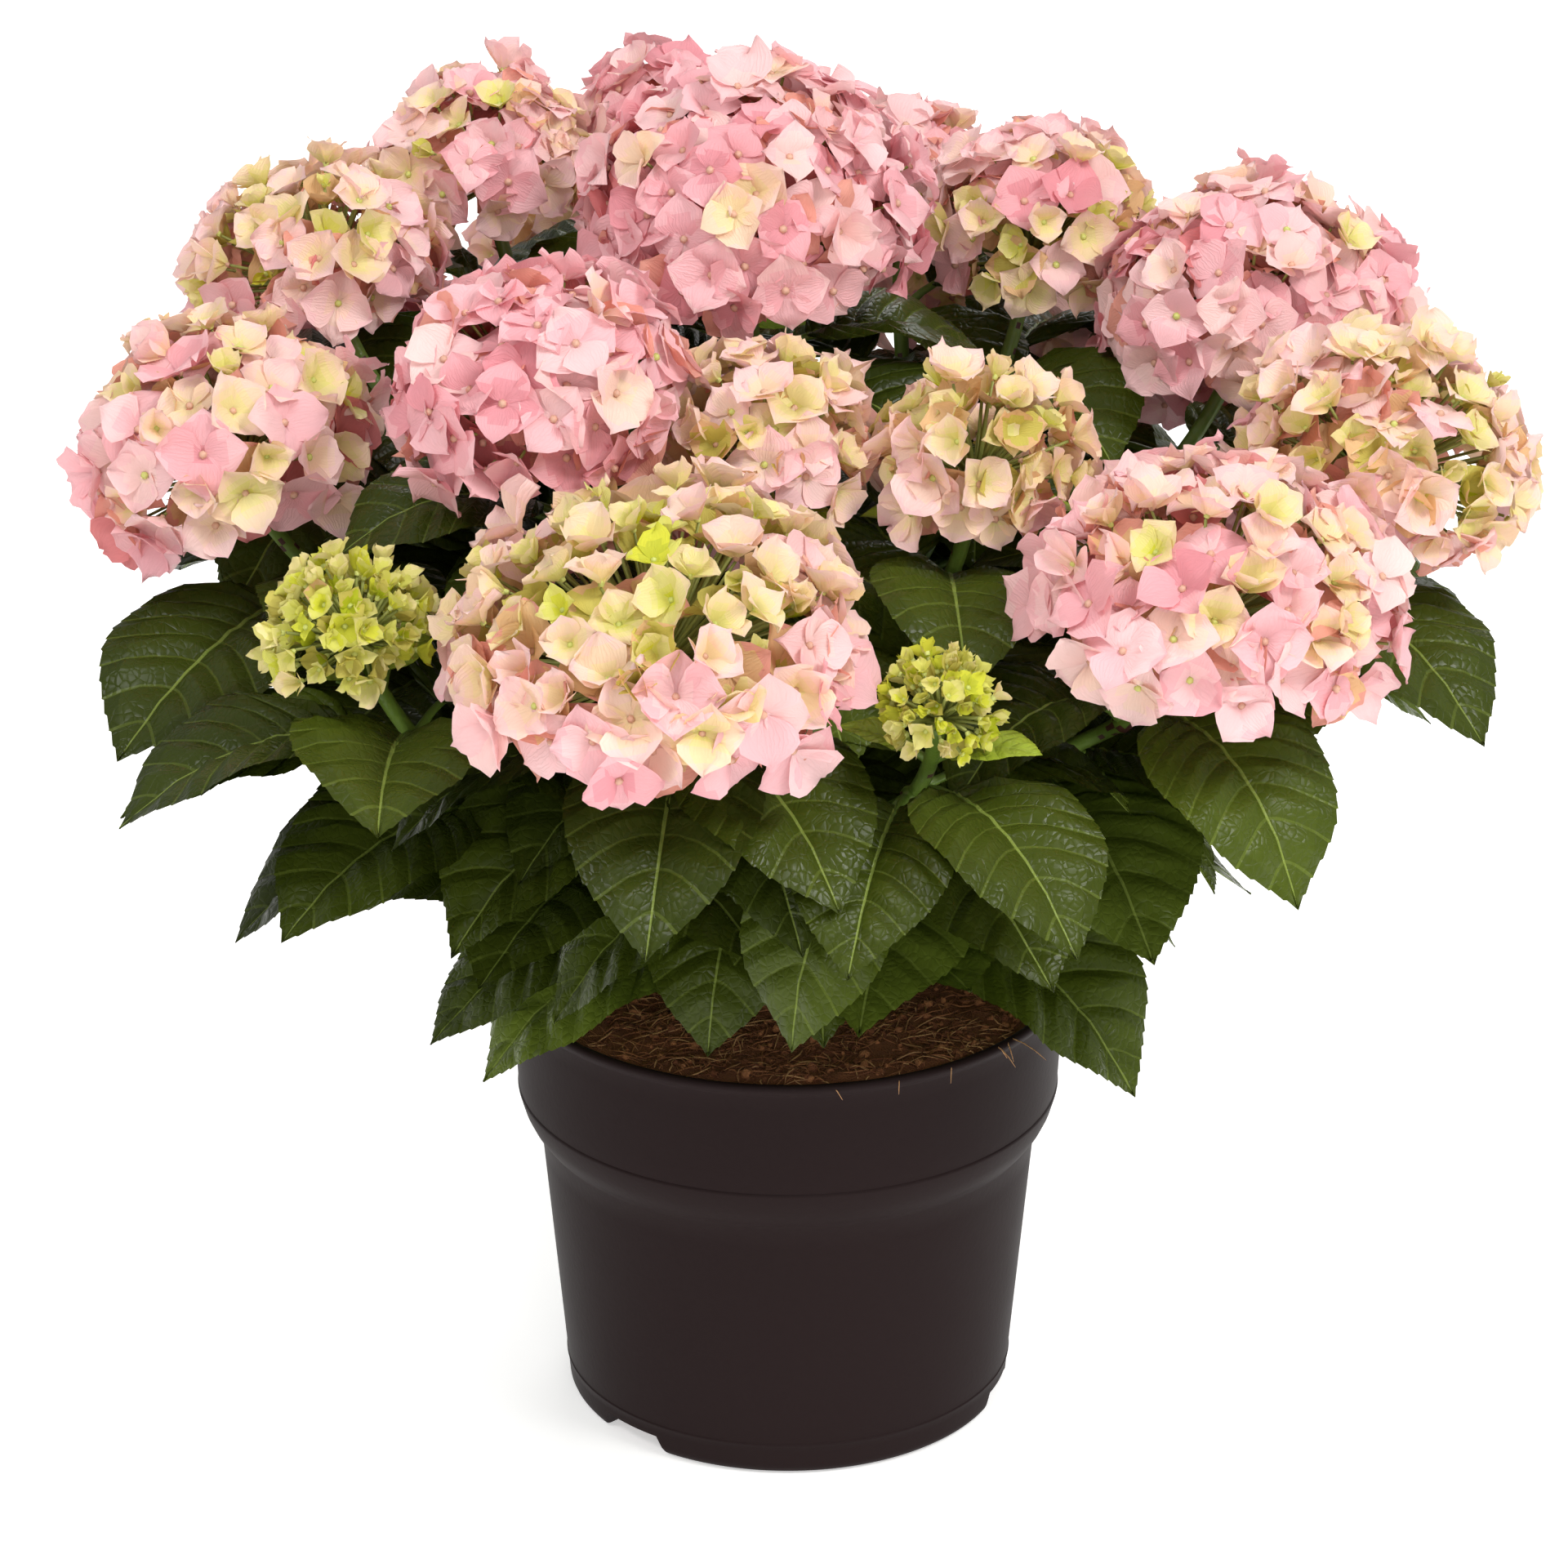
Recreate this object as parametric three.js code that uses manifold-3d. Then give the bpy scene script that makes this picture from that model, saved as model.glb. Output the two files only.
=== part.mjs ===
// A mophead hydrangea shrub in its round nursery pot, in millimetres, +Z up.
// The origin is the middle of the pot's flat underside and the front faces -Y.
// A bearing is an angle round the pot's axis: 0 is the front, 90 the right.
// Woody boughs rise from the potting mix. Each carries a leafy shoot, a green
// stem with leaves in crossed pairs, and every shoot ends in a domed flower head.
import * as THREE from 'three';
import { mergeVertices } from 'three/addons/utils/BufferGeometryUtils.js';
import Module from 'manifold-3d';

const wasm = await Module();
wasm.setup();

// ---- Driving dimensions, in millimetres and degrees ----

// The clearance that parts which touch keep between them.
const GAP = 0.3;
// The least clearance of a leaf or floret to what isn't its own mass.
const CLEAR = 0.6;

const POT = {
  height: 188,
  rimRadius: 115,
  lipHeight: 4,
  collarTop: 113,
  collarFoot: 110.5,
  collarEdge: 138,
  shoulderRadius: 101.5,
  shoulderHeight: 118,
  baseRadius: 91,
  cornerRadius: 5,
  wall: 2.4,
  floor: 3,
  sides: 40,
};
const NOTCH = { count: 3, first: -45, width: 28, height: 8.5, depth: 9, slope: 5 };
const SOIL = { edgeHeight: 180, height: 184, flatRadius: 78 };

// A bough is round wood that tapers from its flat cut at the soil to its tip.
const WOOD = { footRadius: 5.4, tipRadius: 4, sides: 6, steps: 3 };
// The feet of the stems stand in a clump, the outer ones further out.
const CLUMP = { inner: 6, outer: 50 };
// A green stem tapers from its bough's tip to the flower head's stalk.
const GREEN = { footRadius: 3.8, tipRadius: 3, sides: 5, steps: 5 };
// The reach at which a flower head leans outward by the full lean.
const LEAN = { reach: 240, angle: 24 };
// How straight a stem rises and how long it follows its head's axis.
const BEND = { rise: 0.5, follow: 0.34 };

const LEAF = {
  petiole: 0.22,
  petioleRadius: 2.2,
  width: 0.66,
  widest: 0.34,
  shoulder: 0.7,
  shoulderWidth: 0.7,
  thick: 2,
  fold: 14,
  rise: 26,
  jitter: 7,
};
// Shares of a shoot's leaf length for its pairs, from the lowest up.
const PAIR_LENGTHS = [0.96, 1, 0.92, 0.78];
// What a leaf that isn't clear tries: shorter blades, each with drops and turns.
const LEAF_TRIES = {
  lengths: [1, 0.86, 0.72, 0.58],
  drops: [0, 13, -18],
  turns: [0, 15, -15, 30, -30, 44, -44],
};

// A floret stands for two real ones: four broad sepals round a sunk middle.
const FLORET = { radius: 25, cup: 4, root: 16, spacing: 48 };
// The dense middle of a head, and the share of its half height it hangs below.
const CORE = { share: 0.86, sides: 9, underside: 0.5 };
const STALK = { length: 16, radius: 3 };

// Each flowering shoot: the bearing, reach and height of its head's middle, how
// far the head measures across and half its height, its ripeness from green 0
// to pink 1, the height where its leaves begin, how many pairs it has, how long
// they are, how far their tips hang and the bearing of the lowest pair.
// `from` names the bough that a side shoot springs from, at its own height.
const SHOOTS = [
  { name: 'front', bearing: -14, reach: 202, height: 415, across: 166, half: 50,
    ripe: 0.45, leafy: 212, pairs: 4, leaf: 146, hang: 56, turn: -62 },
  { name: 'front_bud', bearing: 15, reach: 219, height: 393, across: 48, half: 22,
    ripe: 0, leafy: 214, pairs: 4, leaf: 140, hang: 46, turn: 28 },
  { name: 'right_front', bearing: 47, reach: 220, height: 414, across: 150, half: 48,
    ripe: 0.8, leafy: 210, pairs: 4, leaf: 148, hang: 60, turn: 40 },
  { name: 'left', bearing: -81, reach: 223, height: 432, across: 126, half: 48,
    ripe: 0.7, leafy: 218, pairs: 4, leaf: 158, hang: 24, turn: -86 },
  { name: 'right', bearing: 77, reach: 239, height: 434, across: 118, half: 46,
    ripe: 0.6, leafy: 216, pairs: 4, leaf: 150, hang: 40, turn: 92 },
  { name: 'left_inner', bearing: -47, reach: 129, height: 474, across: 126, half: 46,
    ripe: 1, leafy: 250, pairs: 3, leaf: 132, hang: 40, turn: -64 },
  { name: 'left_bud', bearing: -45, reach: 232, height: 406, across: 64, half: 28,
    ripe: 0.05, leafy: 236, pairs: 3, leaf: 146, hang: 30, turn: -74,
    from: 'left_inner' },
  { name: 'middle', bearing: -7, reach: 81, height: 448, across: 90, half: 36,
    ripe: 0.35, leafy: 262, pairs: 3, leaf: 124, hang: 44, turn: 10 },
  { name: 'middle_right', bearing: 41, reach: 112, height: 443, across: 88, half: 36,
    ripe: 0.2, leafy: 256, pairs: 3, leaf: 128, hang: 44, turn: 74 },
  { name: 'top', bearing: -152, reach: 34, height: 507, across: 146, half: 56,
    ripe: 0.95, leafy: 330, pairs: 3, leaf: 124, hang: 36, turn: 60 },
  { name: 'right_high', bearing: 109, reach: 200, height: 453, across: 142, half: 50,
    ripe: 0.9, leafy: 240, pairs: 4, leaf: 142, hang: 34, turn: 58 },
  { name: 'left_high', bearing: -112, reach: 204, height: 467, across: 108, half: 40,
    ripe: 0.35, leafy: 236, pairs: 4, leaf: 146, hang: 30, turn: -66 },
  { name: 'left_rear', bearing: -140, reach: 196, height: 483, across: 104, half: 38,
    ripe: 0.6, leafy: 262, pairs: 3, leaf: 132, hang: 40, turn: -150 },
  { name: 'right_rear', bearing: 140, reach: 158, height: 464, across: 102, half: 44,
    ripe: 0.45, leafy: 262, pairs: 3, leaf: 132, hang: 40, turn: 150 },
  { name: 'rear_inner_left', bearing: -164, reach: 192, height: 490, across: 74, half: 30,
    ripe: 0.8, leafy: 340, pairs: 2, leaf: 112, hang: 30, turn: 180, from: 'left_rear' },
  { name: 'rear_inner_right', bearing: 165, reach: 189, height: 463, across: 86, half: 36,
    ripe: 0.85, leafy: 340, pairs: 2, leaf: 112, hang: 30, turn: 140, from: 'right_rear' },
  { name: 'rear_low_left', bearing: -132, reach: 268, height: 392, across: 122, half: 44,
    ripe: 0.9, leafy: 212, pairs: 4, leaf: 146, hang: 46, turn: -128 },
  { name: 'rear_left', bearing: -163, reach: 262, height: 402, across: 136, half: 46,
    ripe: 0.75, leafy: 212, pairs: 4, leaf: 146, hang: 56, turn: -160 },
  { name: 'rear_right', bearing: 160, reach: 266, height: 392, across: 132, half: 46,
    ripe: 0.55, leafy: 212, pairs: 4, leaf: 146, hang: 56, turn: 160 },
  { name: 'rear_low_right', bearing: 131, reach: 264, height: 384, across: 130, half: 46,
    ripe: 0.85, leafy: 212, pairs: 4, leaf: 146, hang: 46, turn: 130 },
];

// ---- Small tools ----

const radians = THREE.MathUtils.degToRad;
const lerp = THREE.MathUtils.lerp;
const UP = new THREE.Vector3(0, 0, 1);

// The level direction of a bearing.
function heading(bearing) {
  return new THREE.Vector3(Math.sin(radians(bearing)), -Math.cos(radians(bearing)), 0);
}

// A row of even random numbers from 0 to 1 that depends on the seed alone.
function randomRow(seed) {
  let state = seed >>> 0;
  return () => {
    state = (Math.imul(state, 1664525) + 1013904223) >>> 0;
    return (state >>> 8) / 16777216;
  };
}

// Joins rings of points, each turning the right-handed way about the way they
// travel, into a closed skin. The last ring may be a single point.
function loft(rings) {
  const places = [];
  const faces = [];
  const first = [];
  for (const ring of rings) {
    first.push(places.length);
    places.push(...ring);
  }
  const sides = rings[0].length;
  for (let i = 0; i + 1 < rings.length; i += 1) {
    const a = first[i];
    const b = first[i + 1];
    for (let j = 0; j < sides; j += 1) {
      const k = (j + 1) % sides;
      if (rings[i + 1].length === 1) {
        faces.push(a + j, a + k, b);
      } else if (j % 2 === 0) {
        faces.push(a + j, a + k, b + k, a + j, b + k, b + j);
      } else {
        faces.push(a + j, a + k, b + j, a + k, b + k, b + j);
      }
    }
  }
  for (let j = 1; j + 1 < sides; j += 1) {
    faces.push(0, j + 1, j);
    if (rings.at(-1).length > 1) {
      faces.push(first.at(-1), first.at(-1) + j, first.at(-1) + j + 1);
    }
  }
  const geometry = new THREE.BufferGeometry().setFromPoints(places);
  geometry.setIndex(faces);
  return geometry;
}

function toSolid(geometry) {
  const bare = geometry.clone();
  bare.deleteAttribute('normal');
  bare.deleteAttribute('uv');
  const merged = mergeVertices(bare, 1e-4);
  return new wasm.Manifold(new wasm.Mesh({
    numProp: 3,
    vertProperties: new Float32Array(merged.attributes.position.array),
    triVerts: new Uint32Array(merged.index.array),
  }));
}

// Fuses pieces into one body. A sealed hollow is filled and a loose scrap goes.
function fuse(pieces) {
  const bodies = wasm.Manifold.union(pieces).decompose();
  return bodies.reduce((best, body) => (body.volume() > best.volume() ? body : best));
}

function toGeometry(solid) {
  const mesh = solid.getMesh();
  const geometry = new THREE.BufferGeometry();
  geometry.setAttribute('position', new THREE.BufferAttribute(mesh.vertProperties, 3));
  geometry.setIndex(new THREE.BufferAttribute(mesh.triVerts, 1));
  return geometry;
}

// Whether two solids come closer than the clearance.
function nearer(one, other, clearance) {
  const a = one.boundingBox();
  const b = other.boundingBox();
  for (let axis = 0; axis < 3; axis += 1) {
    const apart = Math.max(a.min[axis] - b.max[axis], b.min[axis] - a.max[axis]);
    if (apart > clearance) {
      return false;
    }
  }
  return one.minGap(other, clearance * 2) < clearance;
}

// ---- Pot and potting mix ----

// The pot's outside from its flat underside up over the collar to the rim.
function potOutside() {
  const r = POT.baseRadius;
  const c = POT.cornerRadius;
  const corner = new THREE.EllipseCurve(r - c, c, c, c, -Math.PI / 2, 0);
  return [
    ...corner.getPoints(3),
    new THREE.Vector2(POT.shoulderRadius, POT.shoulderHeight),
    new THREE.Vector2(lerp(POT.shoulderRadius, POT.collarFoot, 0.62),
      lerp(POT.shoulderHeight, POT.collarEdge, 0.42)),
    new THREE.Vector2(POT.collarFoot, POT.collarEdge),
    new THREE.Vector2(POT.collarTop, POT.height - POT.lipHeight),
    new THREE.Vector2(POT.rimRadius, POT.height - POT.lipHeight / 2),
    new THREE.Vector2(POT.rimRadius - 0.6, POT.height),
  ];
}

// The pot's inside wall, one wall in from the outside, from the rim down.
function potInside() {
  const foot = POT.baseRadius - POT.wall;
  return [
    new THREE.Vector2(POT.collarTop - POT.wall, POT.height),
    new THREE.Vector2(POT.collarFoot - POT.wall, POT.collarEdge),
    new THREE.Vector2(POT.shoulderRadius - POT.wall, POT.shoulderHeight),
    new THREE.Vector2(foot, POT.floor + POT.cornerRadius),
    new THREE.Vector2(foot - POT.cornerRadius, POT.floor),
  ];
}

// One drain notch through the bottom corner: a wedge that narrows upward.
function drainNotch(bearing) {
  const outer = NOTCH.width / 2 + NOTCH.slope;
  const shape = new THREE.Shape([
    new THREE.Vector2(-outer, -1),
    new THREE.Vector2(outer, -1),
    new THREE.Vector2(NOTCH.width / 2, NOTCH.height),
    new THREE.Vector2(-NOTCH.width / 2, NOTCH.height),
  ]);
  const wedge = new THREE.ExtrudeGeometry(shape, { depth: 2 * NOTCH.depth, bevelEnabled: false });
  wedge.rotateX(Math.PI / 2);
  wedge.translate(0, NOTCH.depth - POT.baseRadius, 0);
  wedge.rotateZ(radians(bearing));
  return toSolid(wedge);
}

function makePot() {
  const axis = new THREE.Vector2(0, 0);
  const floor = new THREE.Vector2(0, POT.floor);
  const profile = [axis, ...potOutside(), ...potInside(), floor];
  const shell = new THREE.LatheGeometry(profile, POT.sides);
  shell.rotateX(Math.PI / 2);
  let pot = toSolid(shell);
  for (let i = 0; i < NOTCH.count; i += 1) {
    pot = pot.subtract(drainNotch(NOTCH.first + (i * 360) / NOTCH.count));
  }
  return pot;
}

// The mix fills the pot's inside, a gap clear of it, with a low flat mound.
function makeSoil() {
  const wall = potInside().reverse().map((p) => new THREE.Vector2(p.x - GAP, p.y));
  wall[0].y += GAP;
  wall[1].y += GAP;
  const top = wall.pop();
  const below = wall.at(-1);
  const share = (SOIL.edgeHeight - below.y) / (top.y - below.y);
  const profile = [
    new THREE.Vector2(0, POT.floor + GAP),
    ...wall,
    new THREE.Vector2(lerp(below.x, top.x, share), SOIL.edgeHeight),
    new THREE.Vector2(SOIL.flatRadius, SOIL.height),
    new THREE.Vector2(0, SOIL.height),
  ];
  const fill = new THREE.LatheGeometry(profile, POT.sides);
  fill.rotateX(Math.PI / 2);
  return toSolid(fill);
}

// ---- Stems ----

// Where a head's middle is, and the way its axis points.
function headFrame(row) {
  const out = heading(row.bearing);
  const lean = radians((LEAN.angle * row.reach) / LEAN.reach);
  const axis = UP.clone().multiplyScalar(Math.cos(lean)).addScaledVector(out, Math.sin(lean));
  const middle = out.clone().multiplyScalar(row.reach).setZ(row.height);
  return { out, axis, middle };
}

// The line of a whole stem, from its foot to the underside of its head.
function stemLine(row, foot, rising) {
  const { axis, middle } = headFrame(row);
  const top = middle.clone().addScaledVector(axis, -row.half * CORE.underside);
  const length = foot.distanceTo(top);
  return new THREE.CubicBezierCurve3(
    foot,
    foot.clone().addScaledVector(rising, length * BEND.rise),
    top.clone().addScaledVector(axis, -length * BEND.follow),
    top,
  );
}

// The share of a line's length at which it reaches a height.
function shareAtHeight(line, height) {
  let low = 0;
  let high = 1;
  for (let i = 0; i < 30; i += 1) {
    const middle = (low + high) / 2;
    if (line.getPoint(middle).z < height) {
      low = middle;
    } else {
      high = middle;
    }
  }
  return (low + high) / 2;
}

// A ring of points round a line, square to it.
function ringAt(line, share, radius, sides, along = line.getTangent(share)) {
  const centre = line.getPoint(share);
  const side = new THREE.Vector3().crossVectors(along, new THREE.Vector3(0.31, 0.95, 0));
  side.normalize();
  const other = new THREE.Vector3().crossVectors(along, side);
  const ring = [];
  for (let i = 0; i < sides; i += 1) {
    const angle = (i / sides) * 2 * Math.PI;
    ring.push(centre.clone()
      .addScaledVector(side, radius * Math.cos(angle))
      .addScaledVector(other, radius * Math.sin(angle)));
  }
  return ring;
}

// A round limb that follows a stretch of a line and tapers evenly.
function limb(line, from, to, size, cut) {
  const rings = [];
  for (let i = 0; i <= size.steps; i += 1) {
    const share = i / size.steps;
    const radius = lerp(size.footRadius, size.tipRadius, share);
    const along = i === 0 && cut ? cut : undefined;
    rings.push(ringAt(line, lerp(from, to, share), radius, size.sides, along));
  }
  return toSolid(loft(rings));
}

// The foot of a bough on the potting mix, in line with its own head.
function footOf(row) {
  const share = Math.min(row.reach / LEAN.reach, 1) ** 2;
  const foot = heading(row.bearing).multiplyScalar(lerp(CLUMP.inner, CLUMP.outer, share));
  return foot.setZ(SOIL.height + GAP);
}

// ---- Leaves ----

// A leaf's middle line at a share of its length: it rises, then hangs over.
function leafPoint(leaf, share) {
  const steps = 12;
  const place = leaf.root.clone();
  const step = (leaf.length * share) / steps;
  for (let i = 0; i < steps; i += 1) {
    const pitch = leafPitch(leaf, ((i + 0.5) / steps) * share);
    place.addScaledVector(leaf.out, step * Math.cos(pitch));
    place.z += step * Math.sin(pitch);
  }
  return place;
}

function leafPitch(leaf, share) {
  return radians(lerp(leaf.rise, -leaf.hang, Math.min(share * 1.15, 1)));
}

// Four points round a leaf: above, right, below and left of its middle line.
function leafRing(leaf, share, halfWidth, halfThick, fold) {
  const pitch = leafPitch(leaf, share);
  const above = leaf.out.clone().multiplyScalar(-Math.sin(pitch));
  above.z += Math.cos(pitch);
  const right = new THREE.Vector3().crossVectors(leaf.out, UP);
  const middle = leafPoint(leaf, share);
  const wide = halfWidth * Math.cos(radians(fold));
  const lift = halfWidth * Math.sin(radians(fold));
  return [
    middle.clone().addScaledVector(above, halfThick),
    middle.clone().addScaledVector(right, wide).addScaledVector(above, lift),
    middle.clone().addScaledVector(above, -halfThick),
    middle.clone().addScaledVector(right, -wide).addScaledVector(above, lift),
  ];
}

// The blade alone, and the leaf with its stalk sunk to the stem's middle.
function makeLeaf(leaf) {
  const half = (leaf.length * (1 - LEAF.petiole) * LEAF.width) / 2;
  const thick = LEAF.thick / 2;
  const blade = (share) => LEAF.petiole + (1 - LEAF.petiole) * share;
  const tip = [leafPoint(leaf, 1)];
  const body = [
    leafRing(leaf, blade(0), LEAF.petioleRadius, thick, 0),
    leafRing(leaf, blade(LEAF.widest), half, thick, LEAF.fold),
    leafRing(leaf, blade(LEAF.shoulder), half * LEAF.shoulderWidth, thick, LEAF.fold),
    tip,
  ];
  const stalk = leafRing(leaf, 0, LEAF.petioleRadius, LEAF.petioleRadius * 0.8, 0);
  return { blade: toSolid(loft(body)), whole: toSolid(loft([stalk, ...body])) };
}

// The leaves that a shoot would like to have, in crossed pairs up its stem.
function leafWishes(row, line, from, to, seed) {
  const random = randomRow(seed);
  const wishes = [];
  for (let pair = 0; pair < row.pairs; pair += 1) {
    const share = lerp(from, to, (pair + 0.25) / row.pairs);
    for (const side of [0, 180]) {
      const turn = row.turn + 90 * pair + side + LEAF.jitter * (2 * random() - 1);
      wishes.push({
        root: line.getPoint(share),
        turn,
        length: row.leaf * PAIR_LENGTHS[pair] * lerp(0.93, 1.05, random()),
        rise: LEAF.rise + LEAF.jitter * (2 * random() - 1),
        hang: row.hang + LEAF.jitter * (2 * random() - 1),
      });
    }
  }
  return wishes;
}

// Every try at a leaf, the likeliest first.
function* leafTries(wish) {
  for (const length of LEAF_TRIES.lengths) {
    for (const drop of LEAF_TRIES.drops) {
      for (const turn of LEAF_TRIES.turns) {
        yield {
          root: wish.root,
          out: heading(wish.turn + turn),
          length: wish.length * length,
          rise: wish.rise - drop,
          hang: wish.hang + drop,
        };
      }
    }
  }
}

// The first try at a leaf that is clear of every solid in the way.
function placeLeaf(wish, inTheWay, blades) {
  for (const leaf of leafTries(wish)) {
    const { blade, whole } = makeLeaf(leaf);
    const blocked = blades.some((other) => nearer(blade, other, CLEAR))
      || inTheWay.some((other) => nearer(whole, other, CLEAR));
    if (!blocked) {
      return { blade, whole };
    }
  }
  return null;
}

// ---- Flower heads ----

// Turns a shape drawn about +Z at the origin to stand on a place along an axis.
function stand(geometry, place, axis, twist = 0) {
  geometry.rotateZ(twist);
  geometry.applyQuaternion(new THREE.Quaternion().setFromUnitVectors(UP, axis));
  geometry.translate(place.x, place.y, place.z);
  return toSolid(geometry);
}

// The dense middle: a dome over a flatter underside.
function headCore(row, frame) {
  const across = (row.across / 2) * CORE.share;
  const half = row.half * CORE.share;
  const outline = [
    [0, -CORE.underside],
    [0.62, -CORE.underside],
    [0.94, -0.2],
    [0.97, 0.2],
    [0.68, 0.74],
    [0, 1],
  ].map(([r, z]) => new THREE.Vector2(r * across, z * half));
  const dome = new THREE.LatheGeometry(outline, CORE.sides);
  dome.rotateX(Math.PI / 2);
  return stand(dome, frame.middle, frame.axis);
}

// Four sepals as a square with a sunk middle, over a root that narrows inward.
function floretShape(radius) {
  const corners = [];
  for (let i = 0; i < 4; i += 1) {
    const angle = (i * Math.PI) / 2;
    corners.push(new THREE.Vector3(radius * Math.cos(angle), radius * Math.sin(angle), FLORET.cup));
  }
  const middle = new THREE.Vector3(0, 0, 0);
  const root = new THREE.Vector3(0, 0, -FLORET.root);
  const geometry = new THREE.BufferGeometry().setFromPoints([...corners, middle, root]);
  const faces = [];
  for (let i = 0; i < 4; i += 1) {
    const next = (i + 1) % 4;
    faces.push(i, next, 4, next, i, 5);
  }
  geometry.setIndex(faces);
  return geometry;
}

// The places of a head's florets, wound in a spiral from the top of the dome.
function floretPlaces(row, frame) {
  const a = row.across / 2;
  const c = row.half;
  const lowest = -0.42;
  const area = 2 * Math.PI * a * lerp(a, c, 0.5) * (1 - lowest) * 0.86;
  const size = Math.min(FLORET.spacing, 0.36 * row.across + 8);
  const count = Math.max(Math.round(area / (size * size)), 7);
  const turn = new THREE.Quaternion().setFromUnitVectors(UP, frame.axis);
  const places = [];
  for (let i = 0; i < count; i += 1) {
    const up = lerp(1, lowest, (i + 0.3) / count);
    const flat = Math.sqrt(1 - up * up);
    const angle = i * Math.PI * (3 - Math.sqrt(5)) + radians(row.bearing);
    const normal = new THREE.Vector3(
      (flat * Math.cos(angle)) / a, (flat * Math.sin(angle)) / a, up / c).normalize();
    const place = new THREE.Vector3(
      a * flat * Math.cos(angle), a * flat * Math.sin(angle), c * up);
    place.addScaledVector(normal, -FLORET.cup * 1.5);
    places.push({
      place: place.applyQuaternion(turn).add(frame.middle),
      normal: normal.applyQuaternion(turn),
      radius: (FLORET.radius * size) / FLORET.spacing,
    });
  }
  return places;
}

// A head's stalk and core, which its florets are fused to.
function headMiddle(row, line, from) {
  const stalk = { footRadius: STALK.radius, tipRadius: STALK.radius, sides: GREEN.sides, steps: 1 };
  return fuse([headCore(row, headFrame(row)), limb(line, from, 1, stalk)]);
}

// A head with every floret that keeps clear of its neighbours.
function makeHead(row, middle, inTheWay, seed) {
  const random = randomRow(seed);
  const frame = headFrame(row);
  const pieces = [middle];
  for (const { place, normal, radius } of floretPlaces(row, frame)) {
    const shape = floretShape(radius * lerp(0.92, 1.08, random()));
    const floret = stand(shape, place, normal, random() * Math.PI);
    if (!inTheWay.some((other) => nearer(floret, other, CLEAR))) {
      pieces.push(floret);
    }
  }
  return fuse(pieces);
}

// ---- The plant ----

const LOOKS = {
  pot: { color: 0x2e2828, roughness: 0.45 },
  potting_mix: { color: 0x4a2f20, roughness: 0.95 },
  bough: { color: 0x6d5138, roughness: 0.8 },
  foliage: { color: 0x2f5a26, roughness: 0.5 },
};
const BLOSSOM = { green: 0xc6d27a, cream: 0xf0d9b4, pink: 0xf0a0ac, roughness: 0.7 };

// The colour of a head opens from green through cream to pink.
function blossomLook(ripe) {
  const color = new THREE.Color(BLOSSOM.green);
  color.lerp(new THREE.Color(BLOSSOM.cream), Math.min(ripe * 2.5, 1));
  color.lerp(new THREE.Color(BLOSSOM.pink), Math.max((ripe - 0.4) / 0.6, 0));
  return { color, roughness: BLOSSOM.roughness };
}

const hydrangea = new THREE.Group();
hydrangea.name = 'potted_hydrangea';

function addPart(name, solid, look) {
  const material = new THREE.MeshStandardMaterial({ ...look, metalness: 0 });
  const mesh = new THREE.Mesh(toGeometry(solid), material);
  mesh.name = name;
  hydrangea.add(mesh);
}

// Every stem's line first, the boughs' own before those that spring from one.
const stems = new Map();
for (const row of SHOOTS.filter((each) => !each.from)) {
  const line = stemLine(row, footOf(row), UP);
  stems.set(row.name, { row, line, from: shareAtHeight(line, row.leafy - 8) });
}
for (const row of SHOOTS.filter((each) => each.from)) {
  const bough = stems.get(row.from);
  const share = shareAtHeight(bough.line, row.leafy - 16);
  const side = bough.line.getPoint(share);
  const along = bough.line.getTangent(share);
  const out = headFrame(row).middle.sub(side).setZ(0).projectOnPlane(along).normalize();
  const foot = side.addScaledVector(out, WOOD.footRadius + GAP);
  const line = stemLine(row, foot, along.add(out).normalize());
  stems.set(row.name, { row, line, from: 0, cut: out });
}

const pot = makePot();
const soil = makeSoil();
const boughs = new Map();
const greens = new Map();
for (const [name, stem] of stems) {
  const length = stem.line.getLength();
  stem.to = 1 - STALK.length / length;
  if (!stem.cut) {
    boughs.set(name, limb(stem.line, 0, stem.from, WOOD, UP));
  }
  const start = stem.cut ? 0 : stem.from + GAP / length;
  greens.set(name, limb(stem.line, start, stem.to, GREEN, stem.cut));
}

// All of a group's solids but the one of this name.
function allBut(group, name) {
  return [...group].filter(([each]) => each !== name).map(([, solid]) => solid);
}

// The florets keep clear of all other heads and of all stems but their own.
const heads = new Map();
for (const row of SHOOTS) {
  const { line, to } = stems.get(row.name);
  heads.set(row.name, headMiddle(row, line, to + GAP / line.getLength()));
}
SHOOTS.forEach((row, index) => {
  const inTheWay = [...boughs.values(), ...allBut(greens, row.name), ...allBut(heads, row.name)];
  heads.set(row.name, makeHead(row, heads.get(row.name), inTheWay, 100 + index));
});

// Each shoot's leaves keep clear of all the rest, and of the leaves before them.
const blades = [];
const foliage = new Map(greens);
SHOOTS.forEach((row, index) => {
  const stem = stems.get(row.name);
  const others = allBut(foliage, row.name);
  const inTheWay = [pot, soil, ...boughs.values(), ...heads.values(), ...others];
  const pieces = [greens.get(row.name)];
  for (const wish of leafWishes(row, stem.line, stem.from, stem.to, 500 + index)) {
    const leaf = placeLeaf(wish, inTheWay, blades);
    if (leaf) {
      pieces.push(leaf.whole);
      blades.push(leaf.blade);
    }
  }
  foliage.set(row.name, fuse(pieces));
});

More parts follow.
